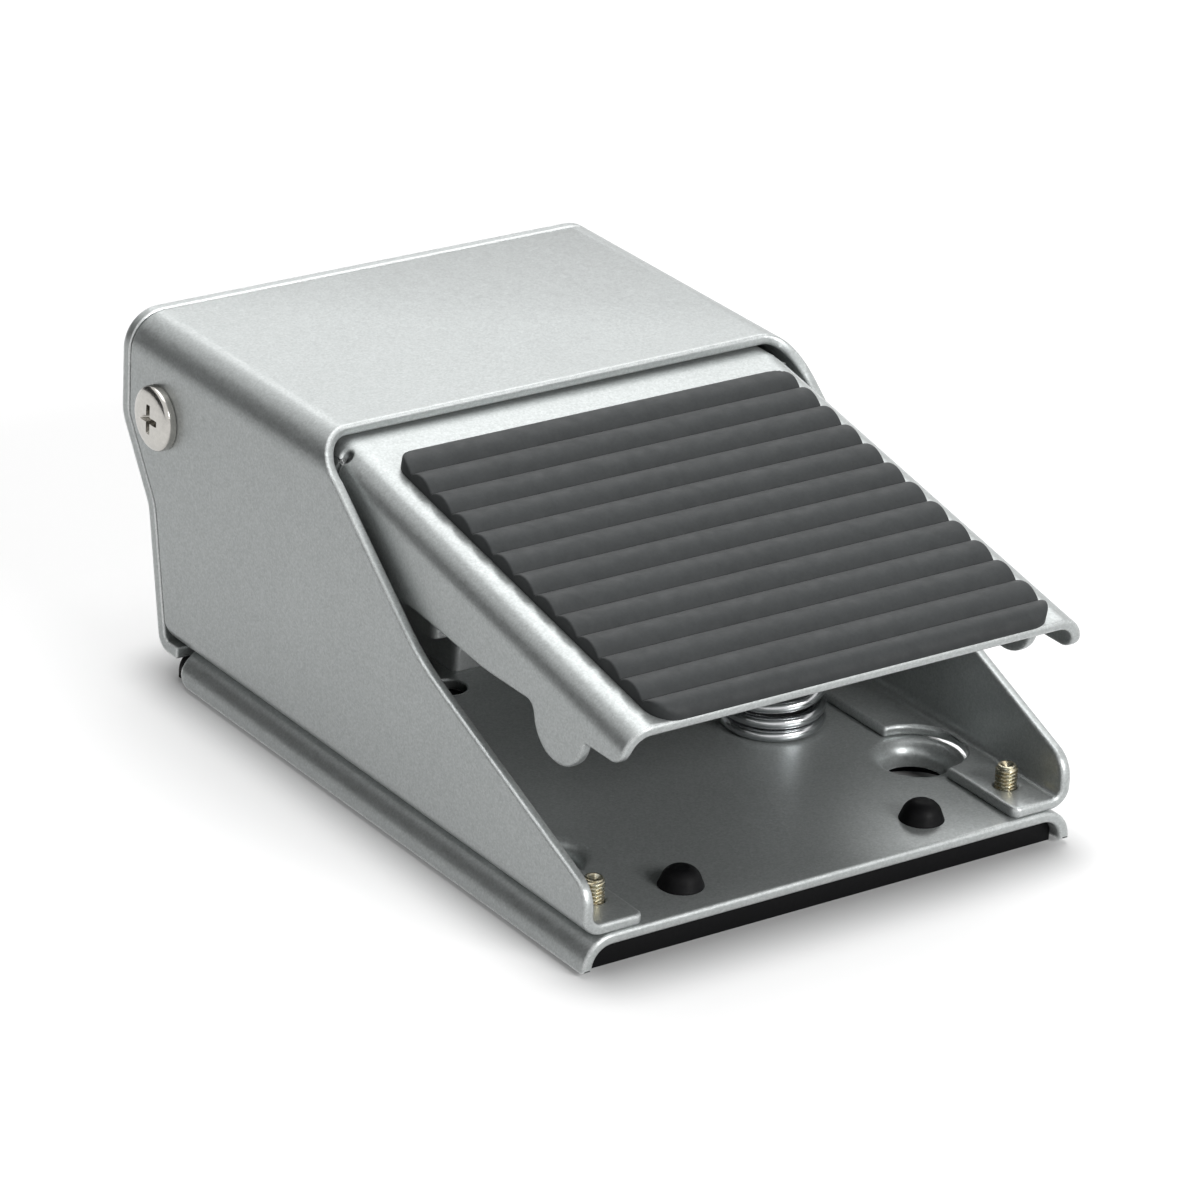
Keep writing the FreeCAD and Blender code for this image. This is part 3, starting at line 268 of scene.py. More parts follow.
def helix_tube(centre_radius, wire, heights, start, middle):
    """A round wire whose centre line climbs by the given heights, evenly in angle, from the start angle.

    Each ring lies across the line, in the plane of its outward and its upward direction, and shrinks to a
    point over the first and last steps."""
    steps = len(heights)
    turns = (steps - 1) / STEPS_PER_TURN
    angle = start + np.linspace(0, ROUND * turns, steps)
    outward = np.stack([np.cos(angle), np.sin(angle), np.zeros(steps)], -1)
    line = centre_radius * outward
    line[:, 2] = heights
    along = np.gradient(line, axis=0)
    along /= np.linalg.norm(along, axis=1, keepdims=True)
    upward = np.cross(along, outward)
    around = np.linspace(0, ROUND, WIRE_SIDES + 1)
    end = [0, 0.86, 1]
    shrink = np.concatenate([end, np.ones(steps - 2 * len(end)), end[::-1]])
    ring = outward[:, None] * np.cos(around)[:, None] - upward[:, None] * np.sin(around)[:, None]
    return line[:, None] + ring * (wire / 2 * shrink)[:, None, None] + np.array(middle)


# Finishes

class Finish:
    """A material being made: its shader, and short calls that add nodes and join them."""

    def __init__(self, name, metallic, roughness):
        self.material = bpy.data.materials.new(name)
        self.material.use_nodes = True
        self.tree = self.material.node_tree
        self.tree.nodes.clear()
        self.shader = self.add("ShaderNodeBsdfPrincipled")
        self.shader.inputs["Metallic"].default_value = metallic
        self.shader.inputs["Roughness"].default_value = roughness
        self.join(self.shader.outputs["BSDF"], self.add("ShaderNodeOutputMaterial").inputs["Surface"])
        self.place = self.add("ShaderNodeTexCoord").outputs["Object"]

    def add(self, kind, **settings):
        node = self.tree.nodes.new(kind)
        for key, value in settings.items():
            setattr(node, key, value)
        return node

    def join(self, source, target):
        self.tree.links.new(source, target)

    def put(self, node, name, value):
        """A number, colour or socket into a node's input."""
        if isinstance(value, bpy.types.NodeSocket):
            self.join(value, node.inputs[name])
        else:
            node.inputs[name].default_value = value

    def stretched(self, source, scale, turn=(0, 0, 0)):
        node = self.add("ShaderNodeMapping")
        self.join(source, node.inputs["Vector"])
        node.inputs["Scale"].default_value = scale
        node.inputs["Rotation"].default_value = turn
        return node.outputs["Vector"]

    def noise(self, size, detail=2.0, rough=0.5, place=None):
        """Noise whose grains are about size metres across."""
        node = self.add("ShaderNodeTexNoise")
        self.join(place or self.place, node.inputs["Vector"])
        self.put(node, "Scale", 1 / size)
        self.put(node, "Detail", detail)
        self.put(node, "Roughness", rough)
        return node.outputs["Fac"]

    def cells(self, size):
        """Random value of each small cell about size metres across."""
        node = self.add("ShaderNodeTexVoronoi", feature="F1")
        self.join(self.place, node.inputs["Vector"])
        self.put(node, "Scale", 1 / size)
        split = self.add("ShaderNodeSeparateColor")
        self.join(node.outputs["Color"], split.inputs["Color"])
        return split.outputs["Red"]

    def span(self, value, low, high, to_low, to_high, spread="LINEAR"):
        """A value spread from one span to another, held at the ends."""
        node = self.add("ShaderNodeMapRange", interpolation_type=spread)
        self.put(node, "Value", value)
        for name, limit in zip(("From Min", "From Max", "To Min", "To Max"), (low, high, to_low, to_high)):
            node.inputs[name].default_value = limit
        return node.outputs["Result"]

    def mixed(self, share, first, second, blend="MIX"):
        node = self.add("ShaderNodeMix", data_type="RGBA", blend_type=blend)
        self.put(node, "Factor", share)
        for index, value in ((6, first), (7, second)):
            if isinstance(value, bpy.types.NodeSocket):
                self.join(value, node.inputs[index])
            else:
                node.inputs[index].default_value = tuple(value) + (1,)
        return node.outputs[2]

    def shaded(self, base, value):
        """A colour made lighter or darker by a value around 1."""
        grey = self.add("ShaderNodeCombineColor")
        for name in ("Red", "Green", "Blue"):
            self.join(value, grey.inputs[name])
        return self.mixed(1.0, base, grey.outputs["Color"], "MULTIPLY")

    def sums(self, first, second, operation="ADD"):
        node = self.add("ShaderNodeMath", operation=operation)
        for index, value in enumerate((first, second)):
            if isinstance(value, bpy.types.NodeSocket):
                self.join(value, node.inputs[index])
            else:
                node.inputs[index].default_value = value
        return node.outputs["Value"]

    def bumps(self, height, distance, strength=1.0, under=None):
        node = self.add("ShaderNodeBump")
        self.put(node, "Height", height)
        self.put(node, "Distance", distance)
        self.put(node, "Strength", strength)
        if under is not None:
            self.join(under, node.inputs["Normal"])
        return node.outputs["Normal"]

    def eased(self, radius, samples=6):
        """The surface direction with edges rounded by a radius, and how well it keeps to the true one."""
        node = self.add("ShaderNodeBevel", samples=samples)
        node.inputs["Radius"].default_value = radius
        true = self.add("ShaderNodeNewGeometry")
        dot = self.add("ShaderNodeVectorMath", operation="DOT_PRODUCT")
        self.join(node.outputs["Normal"], dot.inputs[0])
        self.join(true.outputs["Normal"], dot.inputs[1])
        return node.outputs["Normal"], dot.outputs["Value"]

    def done(self, base=None, roughness=None, normal=None, **inputs):
        for name, value in (("Base Color", base), ("Roughness", roughness), ("Normal", normal)):
            if value is not None:
                self.join(value, self.shader.inputs[name])
        for name, value in inputs.items():
            self.shader.inputs[name.replace("_", " ")].default_value = value
        return self.material


def powder_coat(colours):
    """Silver grey powder coat: bright flakes, soft orange peel, painted highlight on rounded edges."""
    make = Finish("powder coat", 0.6, 0.36)
    direction, sameness = make.eased(0.8 * MM)
    # painted highlight: the coat is mixed towards near-white along rounded edges, where front light catches
    # them
    edge = make.span(sameness, 0.995, 0.90, 0.0, 1.0)
    flakes = make.span(make.cells(0.32 * MM), 0.0, 1.0, 0.90, 1.09)
    grain = make.span(make.noise(0.5 * MM, 3.0, 0.6), 0.3, 0.7, 0.93, 1.07)
    clouds = make.span(make.noise(28 * MM, 2.0), 0.3, 0.7, 0.985, 1.015)
    tone = make.sums(make.sums(flakes, grain, "MULTIPLY"), clouds, "MULTIPLY")
    base = make.shaded(make.mixed(edge, colours.coat, colours.coat_edge_highlight), tone)
    peel = make.noise(1.3 * MM, 2.0, 0.45)
    fine = make.noise(0.35 * MM, 1.0)
    normal = make.bumps(fine, 0.006 * MM, 0.5, make.bumps(peel, 0.03 * MM, 0.6, direction))
    gloss = make.span(make.noise(0.9 * MM, 2.0), 0.3, 0.7, 0.31, 0.42)
    return make.done(base, gloss, normal)


def pad_rubber(colours):
    """Grey-black tread rubber, fine grain, dull gloss; painted light on crests, painted shade in grooves.
    """
    make = Finish("tread rubber", 0.0, 0.62)
    lift = make.add("ShaderNodeAttribute", attribute_name="crest").outputs["Fac"]
    tone = make.span(make.noise(0.7 * MM, 4.0, 0.65), 0.3, 0.7, 0.90, 1.10)
    clouds = make.span(make.noise(22 * MM, 2.0), 0.3, 0.7, 0.94, 1.06)
    # painted light: crests lighter and grooves darker, as overhead light falls on the ribs
    painted_rib_shading = make.span(lift, 0.0, 1.0, 0.72, 1.08)
    base = make.shaded(colours.pad, make.sums(make.sums(tone, clouds, "MULTIPLY"), painted_rib_shading, "MULTIPLY"))
    grain = make.noise(0.3 * MM, 3.0, 0.6)
    gloss = make.span(make.noise(2.5 * MM, 2.0), 0.3, 0.7, 0.58, 0.70)
    return make.done(base, gloss, make.bumps(grain, 0.02 * MM, 0.7), Specular_IOR_Level=0.3,
                     Sheen_Weight=0.05, Sheen_Roughness=0.45)


def mat_rubber(colours):
    """Black moulded rubber of the foot and its studs, matt, with a fine grain."""
    make = Finish("mat rubber", 0.0, 0.6)
    tone = make.span(make.noise(0.8 * MM, 4.0, 0.65), 0.3, 0.7, 0.8, 1.3)
    clouds = make.span(make.noise(15 * MM, 2.0), 0.3, 0.7, 0.9, 1.15)
    base = make.shaded(colours.mat, make.sums(tone, clouds, "MULTIPLY"))
    direction = make.eased(0.3 * MM, 4)[0]
    grain = make.noise(0.25 * MM, 2.0, 0.6)
    gloss = make.span(make.noise(1.2 * MM, 2.0), 0.3, 0.7, 0.46, 0.62)
    return make.done(base, gloss, make.bumps(grain, 0.015 * MM, 0.6, direction), Specular_IOR_Level=0.1)


def plated(name, base, roughness, tints=None, tint_size=1.2 * MM):
    """Plated steel: faint stains, fine scratches and a gloss that varies; tints mix in a second colour."""
    make = Finish(name, 1.0, roughness)
    tone = make.span(make.noise(0.8 * MM, 3.0, 0.6), 0.3, 0.7, 0.93, 1.05)
    first = base
    if tints is not None:
        share = make.span(make.noise(tint_size, 2.0), 0.38, 0.62, 0.0, 1.0)
        first = make.mixed(share, base, tints)
    lines = make.noise(0.25 * MM, 2.0, 0.6, make.stretched(make.place, (0.12, 1.0, 1.0), (0.4, 0.2, 0.9)))
    gloss = make.span(lines, 0.3, 0.7, roughness * 0.8, roughness * 1.3)
    return make.done(make.shaded(first, tone), gloss, make.bumps(lines, 0.004 * MM, 0.5))


def drawn_wire(colours):
    """Bright drawn wire: fine lines that run along the wire, and slight tone changes from turn to turn."""
    make = Finish("drawn wire", 1.0, 0.2)
    along = make.add("ShaderNodeUVMap", uv_map="along").outputs["UV"]
    lines = make.noise(1.0, 3.0, 0.6, make.stretched(along, (40.0, 60.0, 1.0)))
    tone = make.span(lines, 0.3, 0.7, 0.9, 1.04)
    stain = make.span(make.noise(4 * MM, 2.0), 0.35, 0.65, 0.94, 1.02)
    gloss = make.span(lines, 0.3, 0.7, 0.14, 0.26)
    base = make.shaded(colours.wire, make.sums(tone, stain, "MULTIPLY"))
    return make.done(base, gloss, make.bumps(lines, 0.004 * MM, 0.4))


def moulded_plastic(colours):
    """Black moulded plastic with a fine spark-eroded grain."""
    make = Finish("moulded plastic", 0.0, 0.45)
    tone = make.span(make.noise(3 * MM, 3.0), 0.3, 0.7, 0.85, 1.2)
    grain = make.noise(0.2 * MM, 2.0, 0.6)
    gloss = make.span(make.noise(0.6 * MM, 2.0), 0.3, 0.7, 0.38, 0.52)
    return make.done(make.shaded(colours.moulded, tone), gloss, make.bumps(grain, 0.012 * MM, 0.6))


def blasted_alloy(colours):
    """Blasted aluminium: pale, even, with a fine pitted grain."""
    make = Finish("blasted alloy", 0.75, 0.5)
    direction = make.eased(0.3 * MM, 4)[0]
    tone = make.span(make.noise(0.4 * MM, 3.0, 0.65), 0.3, 0.7, 0.92, 1.06)
    clouds = make.span(make.noise(12 * MM, 2.0), 0.3, 0.7, 0.96, 1.04)
    pits = make.noise(0.22 * MM, 2.0, 0.6)
    gloss = make.span(make.noise(0.7 * MM, 2.0), 0.3, 0.7, 0.45, 0.58)
    base = make.shaded(colours.alloy, make.sums(tone, clouds, "MULTIPLY"))
    return make.done(base, gloss, make.bumps(pits, 0.015 * MM, 0.7, direction))


def turned_brass(colours):
    """Turned brass: fine rings left by the tool, round the upright axis."""
    make = Finish("turned brass", 1.0, 0.25)
    rings = make.noise(0.12 * MM, 1.0, 0.5, make.stretched(make.place, (0.02, 0.02, 1.0)))
    tone = make.span(make.noise(2 * MM, 3.0), 0.3, 0.7, 0.9, 1.08)
    gloss = make.span(rings, 0.3, 0.7, 0.18, 0.34)
    return make.done(make.shaded(colours.brass, tone), gloss, make.bumps(rings, 0.004 * MM, 0.6))


def seal_rubber(colours):
    """Smooth black seal rubber with a trace of grease."""
    make = Finish("seal rubber", 0.0, 0.3)
    tone = make.span(make.noise(1.5 * MM, 2.0), 0.3, 0.7, 0.8, 1.2)
    gloss = make.span(make.noise(0.8 * MM, 2.0), 0.3, 0.7, 0.22, 0.42)
    grain = make.noise(0.2 * MM, 2.0)
    return make.done(make.shaded(colours.seal, tone), gloss, make.bumps(grain, 0.005 * MM, 0.4))


def dressed(finish, *names):
    """The finish on every slot of the frame's own nodes."""
    for name in names:
        for slot in frame["nodes"][name].material_slots:
            slot.material = finish


# Pieces

def pad_surface(sizes, half_width):
    """Top, underside and edge wall of the ribbed pad, flat, with its front edge on X and +Y up the tread.

    A rib is an arc between two grooves. The plan is a rectangle with round corners, so near its ends
    each lengthwise line is cut off by the corner's circle, and the height drops by a quarter round at the
    edge: edge - sqrt(edge^2 - (edge - distance)^2)."""
    pitch = (sizes.length - sizes.first_rib) / (sizes.ribs - 1)
    groove = np.concatenate([[0], sizes.first_rib + pitch * np.arange(sizes.ribs)])
    share = (1 - np.cos(np.linspace(0, math.pi, 15)[:-1])) / 2
    y = np.concatenate([(groove[:-1, None] + np.diff(groove)[:, None] * share).ravel(), [sizes.length]])
    # lines close together over the rounded upper edge, then 0.5 mm apart over the corner, then far apart
    near = np.array([0, 0.02, 0.07, 0.15, 0.26, 0.4, 0.7, 1.1, 1.6, 2.1, 2.6, 3.1, 3.6, 4.1, 4.6, 5.0]) * MM
    x = np.concatenate([-half_width + near, np.linspace(-1, 1, 9)[1:-1] * (half_width - near[-1]),
                        half_width - near[::-1]])
    inner = half_width - sizes.corner
    over = np.clip(np.abs(x) - inner, 0, None)
    cut = sizes.corner - np.sqrt(np.clip(sizes.corner ** 2 - over ** 2, 0, None))
    along = np.clip(y[None, :], cut[:, None], sizes.length - cut[:, None])
    across = np.broadcast_to(x[:, None], along.shape)

    index = np.clip(np.searchsorted(groove, along, side="right") - 1, 0, sizes.ribs - 1)
    start, end = groove[index], groove[index + 1]
    at = (along - start) / (end - start)
    arch, fullness = 4 * at * (1 - at), 0.92
    foot = np.where(index == 0, sizes.nose + (sizes.groove - sizes.nose) * at, sizes.groove)
    height = foot + (sizes.crest - foot) * arch ** fullness

    corner_x = np.clip(np.abs(across) - inner, 0, None)
    corner_y = np.clip(np.abs(along - sizes.length / 2) - (sizes.length / 2 - sizes.corner), 0, None)
    inside = np.minimum(sizes.corner - np.hypot(corner_x, corner_y), sizes.corner)
    short = np.clip(sizes.edge - inside, 0, sizes.edge)
    height = height - (sizes.edge - np.sqrt(sizes.edge ** 2 - short ** 2))

    top = np.stack([across, along, height], -1)
    under = np.stack([across, along, np.zeros_like(height)], -1)
    loops = [np.concatenate([sheet[0], sheet[1:, -1], sheet[-1, -2::-1], sheet[-2::-1, 0]])
             for sheet in (top, under)]
    wall = np.stack(loops)
    return [top, under, wall]


class PEDALVALVE_OT_tread_pad(bpy.types.Operator):
    """Builds the ribbed rubber pad on the tread"""
    bl_idname = "pedalvalve.tread_pad"
    bl_label = "Tread pad"

    def execute(self, context):
        sizes = context.scene.pedal_pad
        low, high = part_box("pedal_pad")
        sheets = pad_surface(sizes, high.x)
        slope = Matrix.Rotation(sizes.tilt, 4, "X")
        sheets = [stood(sheet, slope) for sheet in sheets]
        # the pad's front lies at the front of its box, and its underside's lowest line at the bottom
        every = np.concatenate([sheet.reshape(-1, 3) for sheet in sheets])
        lift = np.array([0, low.y, low.z]) - np.array([0, every[:, 1].min(), sheets[1][..., 2].min()])
        sheets = [sheet + lift for sheet in sheets]
        pad = closed_mesh("tread_pad", sheets, pad_rubber(context.scene.pedal_finish))
        paint_crest(pad, slope, lift, sizes)
        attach(pad, "treadle")
        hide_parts("pedal_pad")
        return {"FINISHED"}


def paint_crest(pad, slope, lift, sizes):
    """Stores how high each point stands between groove and crest, from 0 to 1."""
    mesh = pad.data
    points = np.empty(len(mesh.vertices) * 3, np.float32)
    mesh.vertices.foreach_get("co", points)
    flat = stood(points.reshape(-1, 3) - lift, slope.inverted())
    share = np.clip((flat[:, 2] - sizes.groove) / (sizes.crest - sizes.groove), 0, 1)
    # the tread rubber uses this share for painted light on the crests and painted shade in the grooves
    layer = mesh.attributes.new("crest", "FLOAT", "POINT")
    layer.data.foreach_set("value", share.astype(np.float32))


def spring_heights(wire, length, turns, knots):
    """Height of the wire's middle at each step: straight runs between knots (turn, height), softened."""
    steps = int(round(turns * STEPS_PER_TURN)) + 1
    turn = np.linspace(0, turns, steps)
    spots, levels = zip(*knots)
    window = np.hanning(STEPS_PER_TURN // 2 + 1)
    pad = len(window) // 2
    raw = np.interp(turn, spots, levels)
    longer = np.concatenate([2 * raw[0] - raw[pad:0:-1], raw, 2 * raw[-1] - raw[-2:-pad - 2:-1]])
    soft = np.convolve(longer, window / window.sum(), mode="valid")
    return np.clip(soft, wire / 2, length - wire / 2)


class PEDALVALVE_OT_springs(bpy.types.Operator):
    """Winds the pedal's return spring and the valve's small spring"""
    bl_idname = "pedalvalve.springs"
    bl_label = "Springs"

    def execute(self, context):
        sizes = context.scene.pedal_spring
        steel = drawn_wire(context.scene.pedal_finish)
        low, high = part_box("pedal_spring")
        wire, length = sizes.wire, high.z - low.z
        base, last = wire / 2, length - wire / 2
        # the lowest turns lie close to one another, then the wire climbs evenly to its closed top turn
        knots = [(0, base), (0.33, base), (1.0, base + wire), (1.36, base + 1.13 * wire),
                 (2.0, base + 2.05 * wire), (2.36, base + 2.55 * wire),
                 (sizes.turns - 1, last - wire), (sizes.turns, last)]
        heights = spring_heights(wire, length, sizes.turns, knots)
        middle = (low + high) / 2
        tube = helix_tube((high.x - low.x - wire) / 2, wire, heights, sizes.start,
                          (middle.x, middle.y, low.z))
        coil = closed_mesh("pedal_coil", [tube], steel)
        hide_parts("pedal_spring")
        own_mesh(coil)
        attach(coil, "frame")

        low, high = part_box("valve_spring")
        wire, length = sizes.valve_wire, high.z - low.z
        base, last = wire / 2, length - wire / 2
        knots = [(0, base), (1, base + wire), (sizes.valve_turns - 1, last - wire),
                 (sizes.valve_turns, last)]
        heights = spring_heights(wire, length, sizes.valve_turns, knots)
        middle = (low + high) / 2
        tube = helix_tube((high.x - low.x - wire) / 2, wire, heights, 0, (middle.x, middle.y, low.z))
        coil = closed_mesh("valve_coil", [tube], steel)
        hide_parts("valve_spring")
        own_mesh(coil)
        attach(coil, "frame")
        return {"FINISHED"}


def pan_screw(sizes, head, height, rim, shank, length):
    """Rings of a pan-head screw along +Z, its head's underside at height 0.

    From the middle of the cross recess out over the domed head, whose height above the rim is
    rise * (1 - (r / head)^flatness)^(1 / flatness), down its side, in under it, along the threaded shank
    and over the end."""
    angles, flatness = np.linspace(0, ROUND, 257), 3.4

    def dome(radius):
        share = np.clip(radius / head, 0, 1)
        return rim + (height - rim) * (1 - share ** flatness) ** (1 / flatness)

    radius, level = recess(angles, dome, sizes, 1.0)
    spread = np.sin(np.linspace(0, math.pi / 2, 22)[1:, None])
    outer = radius[-1] + (head - radius[-1]) * spread
    ease, depth, chamfer, narrowing = 0.15 * MM, 0.55 * MM, 0.5 * MM, 0.9 * MM
    radius, level = with_rings(np.concatenate([radius, outer]), np.concatenate([level, dome(outer)]),
                               ((head, rim / 2), (head, ease), (head - ease, 0), (shank, 0)))
    down = np.arange(0, -(length - chamfer), -sizes.pan_pitch / 8)[1:, None]
    threads = thread_radius(down, angles, -length, 0, sizes.pan_pitch, shank, shank - depth)
    radius = np.concatenate([radius, threads])
    level = np.concatenate([level, np.broadcast_to(down, threads.shape)])
    return turned(*with_rings(radius, level, ((shank - narrowing, -length), (0, -length))), angles)


class PEDALVALVE_OT_pivot_screws(bpy.types.Operator):
    """Builds the two pan-head screws at the ends of the pivot shaft"""
    bl_idname = "pedalvalve.pivot_screws"
    bl_label = "Pivot screws"

    def execute(self, context):
        sizes = context.scene.pedal_screw
        low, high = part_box("pivot_screws")
        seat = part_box("cover")[1].x
        centre = (low + high) / 2
        screw = pan_screw(sizes, head=(high.z - low.z) / 2, height=2.5 * MM, rim=0.8 * MM, shank=3.0 * MM,
                          length=14.0 * MM)
        right = Matrix.Translation((seat, centre.y, centre.z)) @ Matrix.Rotation(math.pi / 2, 4, "Y")
        left = Matrix.Rotation(math.pi, 4, "Z")
        left = Matrix.Translation((-seat, centre.y, centre.z)) @ left @ Matrix.Rotation(math.pi / 2, 4, "Y")
        nickel = plated("nickel plate", context.scene.pedal_finish.nickel, 0.2)
        pair = closed_mesh("pivot_screw_pair", [stood(screw, right), stood(screw, left)], nickel)
        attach(pair, "frame")
        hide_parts("pivot_screws")
        return {"FINISHED"}


def plate_screw(sizes, length):
    """Rings of a countersunk screw that stands on its head at height 0, its cupped end at the top.

    From the middle of the cross recess in the head's underside, out, up the cone, along the thread, and
    over the chamfer into the cup."""
    head, rim, shank, chamfer, cup = PLATE_HEAD, 0.2 * MM, 2.0 * MM, 0.4 * MM, 1.2 * MM
    depth, cross_scale, deepest = 0.43 * MM, 0.58, 1.55 * MM
    angles = np.linspace(0, ROUND, 97)
    radius, level = recess(angles, np.zeros_like, sizes, cross_scale)
    level = np.minimum(-level, deepest)
    neck, ease, lip = rim + head - shank, 0.05 * MM, 0.08 * MM
    radius, level = with_rings(radius, level, ((head - ease, 0), (head, ease), (head, rim), (shank, neck)))
    up = np.arange(neck, length - chamfer, sizes.plate_pitch / 10)[1:, None]
    threads = thread_radius(up, angles, neck, length, sizes.plate_pitch, shank, shank - depth)
    radius = np.concatenate([radius, threads])
    level = np.concatenate([level, np.broadcast_to(up, threads.shape)])
    end = ((shank - 0.38 * MM, length - lip), (shank - 0.5 * MM, length), (cup, length),
           (cup - 0.1 * MM, length - lip), (0.3 * MM, length - 0.75 * MM), (0, length - 0.8 * MM))
    return turned(*with_rings(radius, level, end), angles)


class PEDALVALVE_OT_plate_screws(bpy.types.Operator):
    """Builds the small screws that stand up through the base plate, for the cover and the valve"""
    bl_idname = "pedalvalve.plate_screws"
    bl_label = "Plate screws"

    def execute(self, context):
        sizes, colours = context.scene.pedal_screw, context.scene.pedal_finish
        zinc = plated("yellow zinc plate", colours.zinc, 0.28, (0.50, 0.49, 0.40), 0.9 * MM)
        head = PLATE_HEAD
        low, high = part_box("cover_screws")
        spots = [(x, y) for x in (low.x + head, high.x - head) for y in (low.y + head, high.y - head)]
        screw = plate_screw(sizes, high.z - low.z)
        four = closed_mesh("cover_screw_set", [screw + np.array((x, y, low.z)) for x, y in spots], zinc)
        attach(four, "frame")
        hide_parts("cover_screws")

        low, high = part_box("valve_screws")
        spots = [(high.x - head, low.y + head), (low.x + head, high.y - head)]
        screw = plate_screw(sizes, high.z - low.z)
        nickel = plated("screw plate", colours.nickel, 0.25)
        pair = closed_mesh("valve_screw_pair", [screw + np.array((x, y, low.z)) for x, y in spots], nickel)
        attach(pair, "frame")
        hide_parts("valve_screws")
        return {"FINISHED"}


def eased_copy(name, node, radius, finish, reshape=None, behind=EVERYWHERE):
    """A copy of a frame's node whose sheared edges are rounded by a radius, where Y is less than behind.

    The loose triangles are merged and flat faces joined; then reshape may move points, and the flat faces
    are cut into triangles again before the rounding, because it spoils a face with many corners."""
    mesh = frame["nodes"][node].data.copy()
    mesh.name = name
    build = bmesh.new()
    build.from_mesh(mesh)
    bmesh.ops.remove_doubles(build, verts=build.verts, dist=WELD)
    bmesh.ops.dissolve_limit(build, angle_limit=FLAT_ANGLE, verts=build.verts, edges=build.edges)
    build.to_mesh(mesh)
    if reshape is not None:
        points = np.empty(len(mesh.vertices) * 3, np.float32)
        mesh.vertices.foreach_get("co", points)
        points = reshape(points.reshape(-1, 3))
        mesh.vertices.foreach_set("co", points.astype(np.float32).ravel())
        build.free()
        build = bmesh.new()
        build.from_mesh(mesh)
    if radius:
        bmesh.ops.triangulate(build, faces=build.faces)
        sharp = [edge for edge in build.edges
                 if len(edge.link_faces) == 2 and edge.calc_face_angle(0) > EDGE_ANGLE
                 and max(point.co.y for point in edge.verts) < behind]
        bmesh.ops.bevel(build, geom=sharp, offset=radius, offset_type="OFFSET", segments=3, profile=0.5,
                        affect="EDGES", clamp_overlap=False, miter_outer="ARC", miter_inner="ARC")
    build.to_mesh(mesh)
    build.free()
    mesh.validate()
    if "custom_normal" in mesh.attributes:
        mesh.attributes.remove(mesh.attributes["custom_normal"])
    mesh.shade_smooth()
    mesh.set_sharp_from_angle(angle=SHARP_ANGLE)
    mesh.materials.clear()
    mesh.materials.append(finish)
    piece = bpy.data.objects.new(name, mesh)
    bpy.context.scene.collection.objects.link(piece)
    even = piece.modifiers.new("even normals", "WEIGHTED_NORMAL")
    even.keep_sharp = True
    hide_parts(node)
    return piece


def squarer_flanges(points):
    """The cover's flange corners, cut off at the toe, pulled out to a small chamfer."""
    low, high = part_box("cover")
    width, cut, kept = 12.3 * MM, 4.0 * MM, 0.9 * MM
    inner = high.x - width
    side, back = np.abs(points[:, 0]) - inner, points[:, 1] - low.y
    at_front = (np.abs(back) < WELD) & (np.abs(side - cut) < WELD)
    at_inner = (np.abs(side) < WELD) & (np.abs(back - cut) < WELD)
    points[at_front, 0] = np.sign(points[at_front, 0]) * (inner + kept)
    points[at_inner, 1] = low.y + kept
    return points


class PEDALVALVE_OT_sheet_metal(bpy.types.Operator):
    """Coats the base plate, the cover and the pedal, and rounds their sheared edges"""
    bl_idname = "pedalvalve.sheet_metal"
    bl_label = "Sheet metal"

    def execute(self, context):
        coat = powder_coat(context.scene.pedal_finish)
        radius = 0.5 * MM
        front_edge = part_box("base_plate")[0].y + radius
        for name, node, body, reshape, behind in (
                ("coated_base", "base_plate", "frame", None, front_edge),
                ("coated_cover", "cover", "frame", squarer_flanges, EVERYWHERE),
                ("coated_pedal", "pedal", "treadle", None, EVERYWHERE)):
            piece = eased_copy(name, node, radius, coat, reshape, behind)
            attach(piece, body)
        return {"FINISHED"}


def lower_studs(points):
    """The foot's stud heads made lower and drawn in towards their tops.

    At the height share h above the plate a head keeps 0.96 - 0.24 h of its width; it keeps 0.76 of its
    height."""
    plate, stud_x, front_y, rear_y = 7.2 * MM, 25.75 * MM, -59.1 * MM, 50.0 * MM
    foot_width, taper, kept_height = 0.96, 0.24, 0.76
    above = points[:, 2] - plate
    head = above > WELD
    share = above / (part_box("rubber_foot")[1].z - plate)
    width = np.where(head, foot_width - taper * share, 1.0)
    for axis, middle in ((0, np.where(points[:, 0] > 0, stud_x, -stud_x)),
                         (1, np.where(points[:, 1] > 0, rear_y, front_y))):
        points[:, axis] = np.where(head, middle + (points[:, axis] - middle) * width, points[:, axis])
    points[:, 2] = np.where(head, plate + above * kept_height, points[:, 2])
    return points


class PEDALVALVE_OT_rubber_foot(bpy.types.Operator):
    """Builds the rubber foot with its studs"""
    bl_idname = "pedalvalve.rubber_foot"
    bl_label = "Rubber foot"

    def execute(self, context):
        rubber = mat_rubber(context.scene.pedal_finish)
        mat = eased_copy("studded_mat", "rubber_foot", 0, rubber, lower_studs)
        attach(mat, "frame")
        return {"FINISHED"}


class PEDALVALVE_OT_pivot_parts(bpy.types.Operator):
    """Finishes the pivot shaft, its bushes, the spring seats and the plunger cap"""
    bl_idname = "pedalvalve.pivot_parts"
    bl_label = "Shaft and moulded parts"

    def execute(self, context):
        colours = context.scene.pedal_finish
        dressed(plated("ground shaft", colours.nickel, 0.22), "pivot_shaft")
        dressed(moulded_plastic(colours), "pivot_bushes", "spring_seat_lower", "spring_seat_upper",
                "plunger_cap")
        return {"FINISHED"}


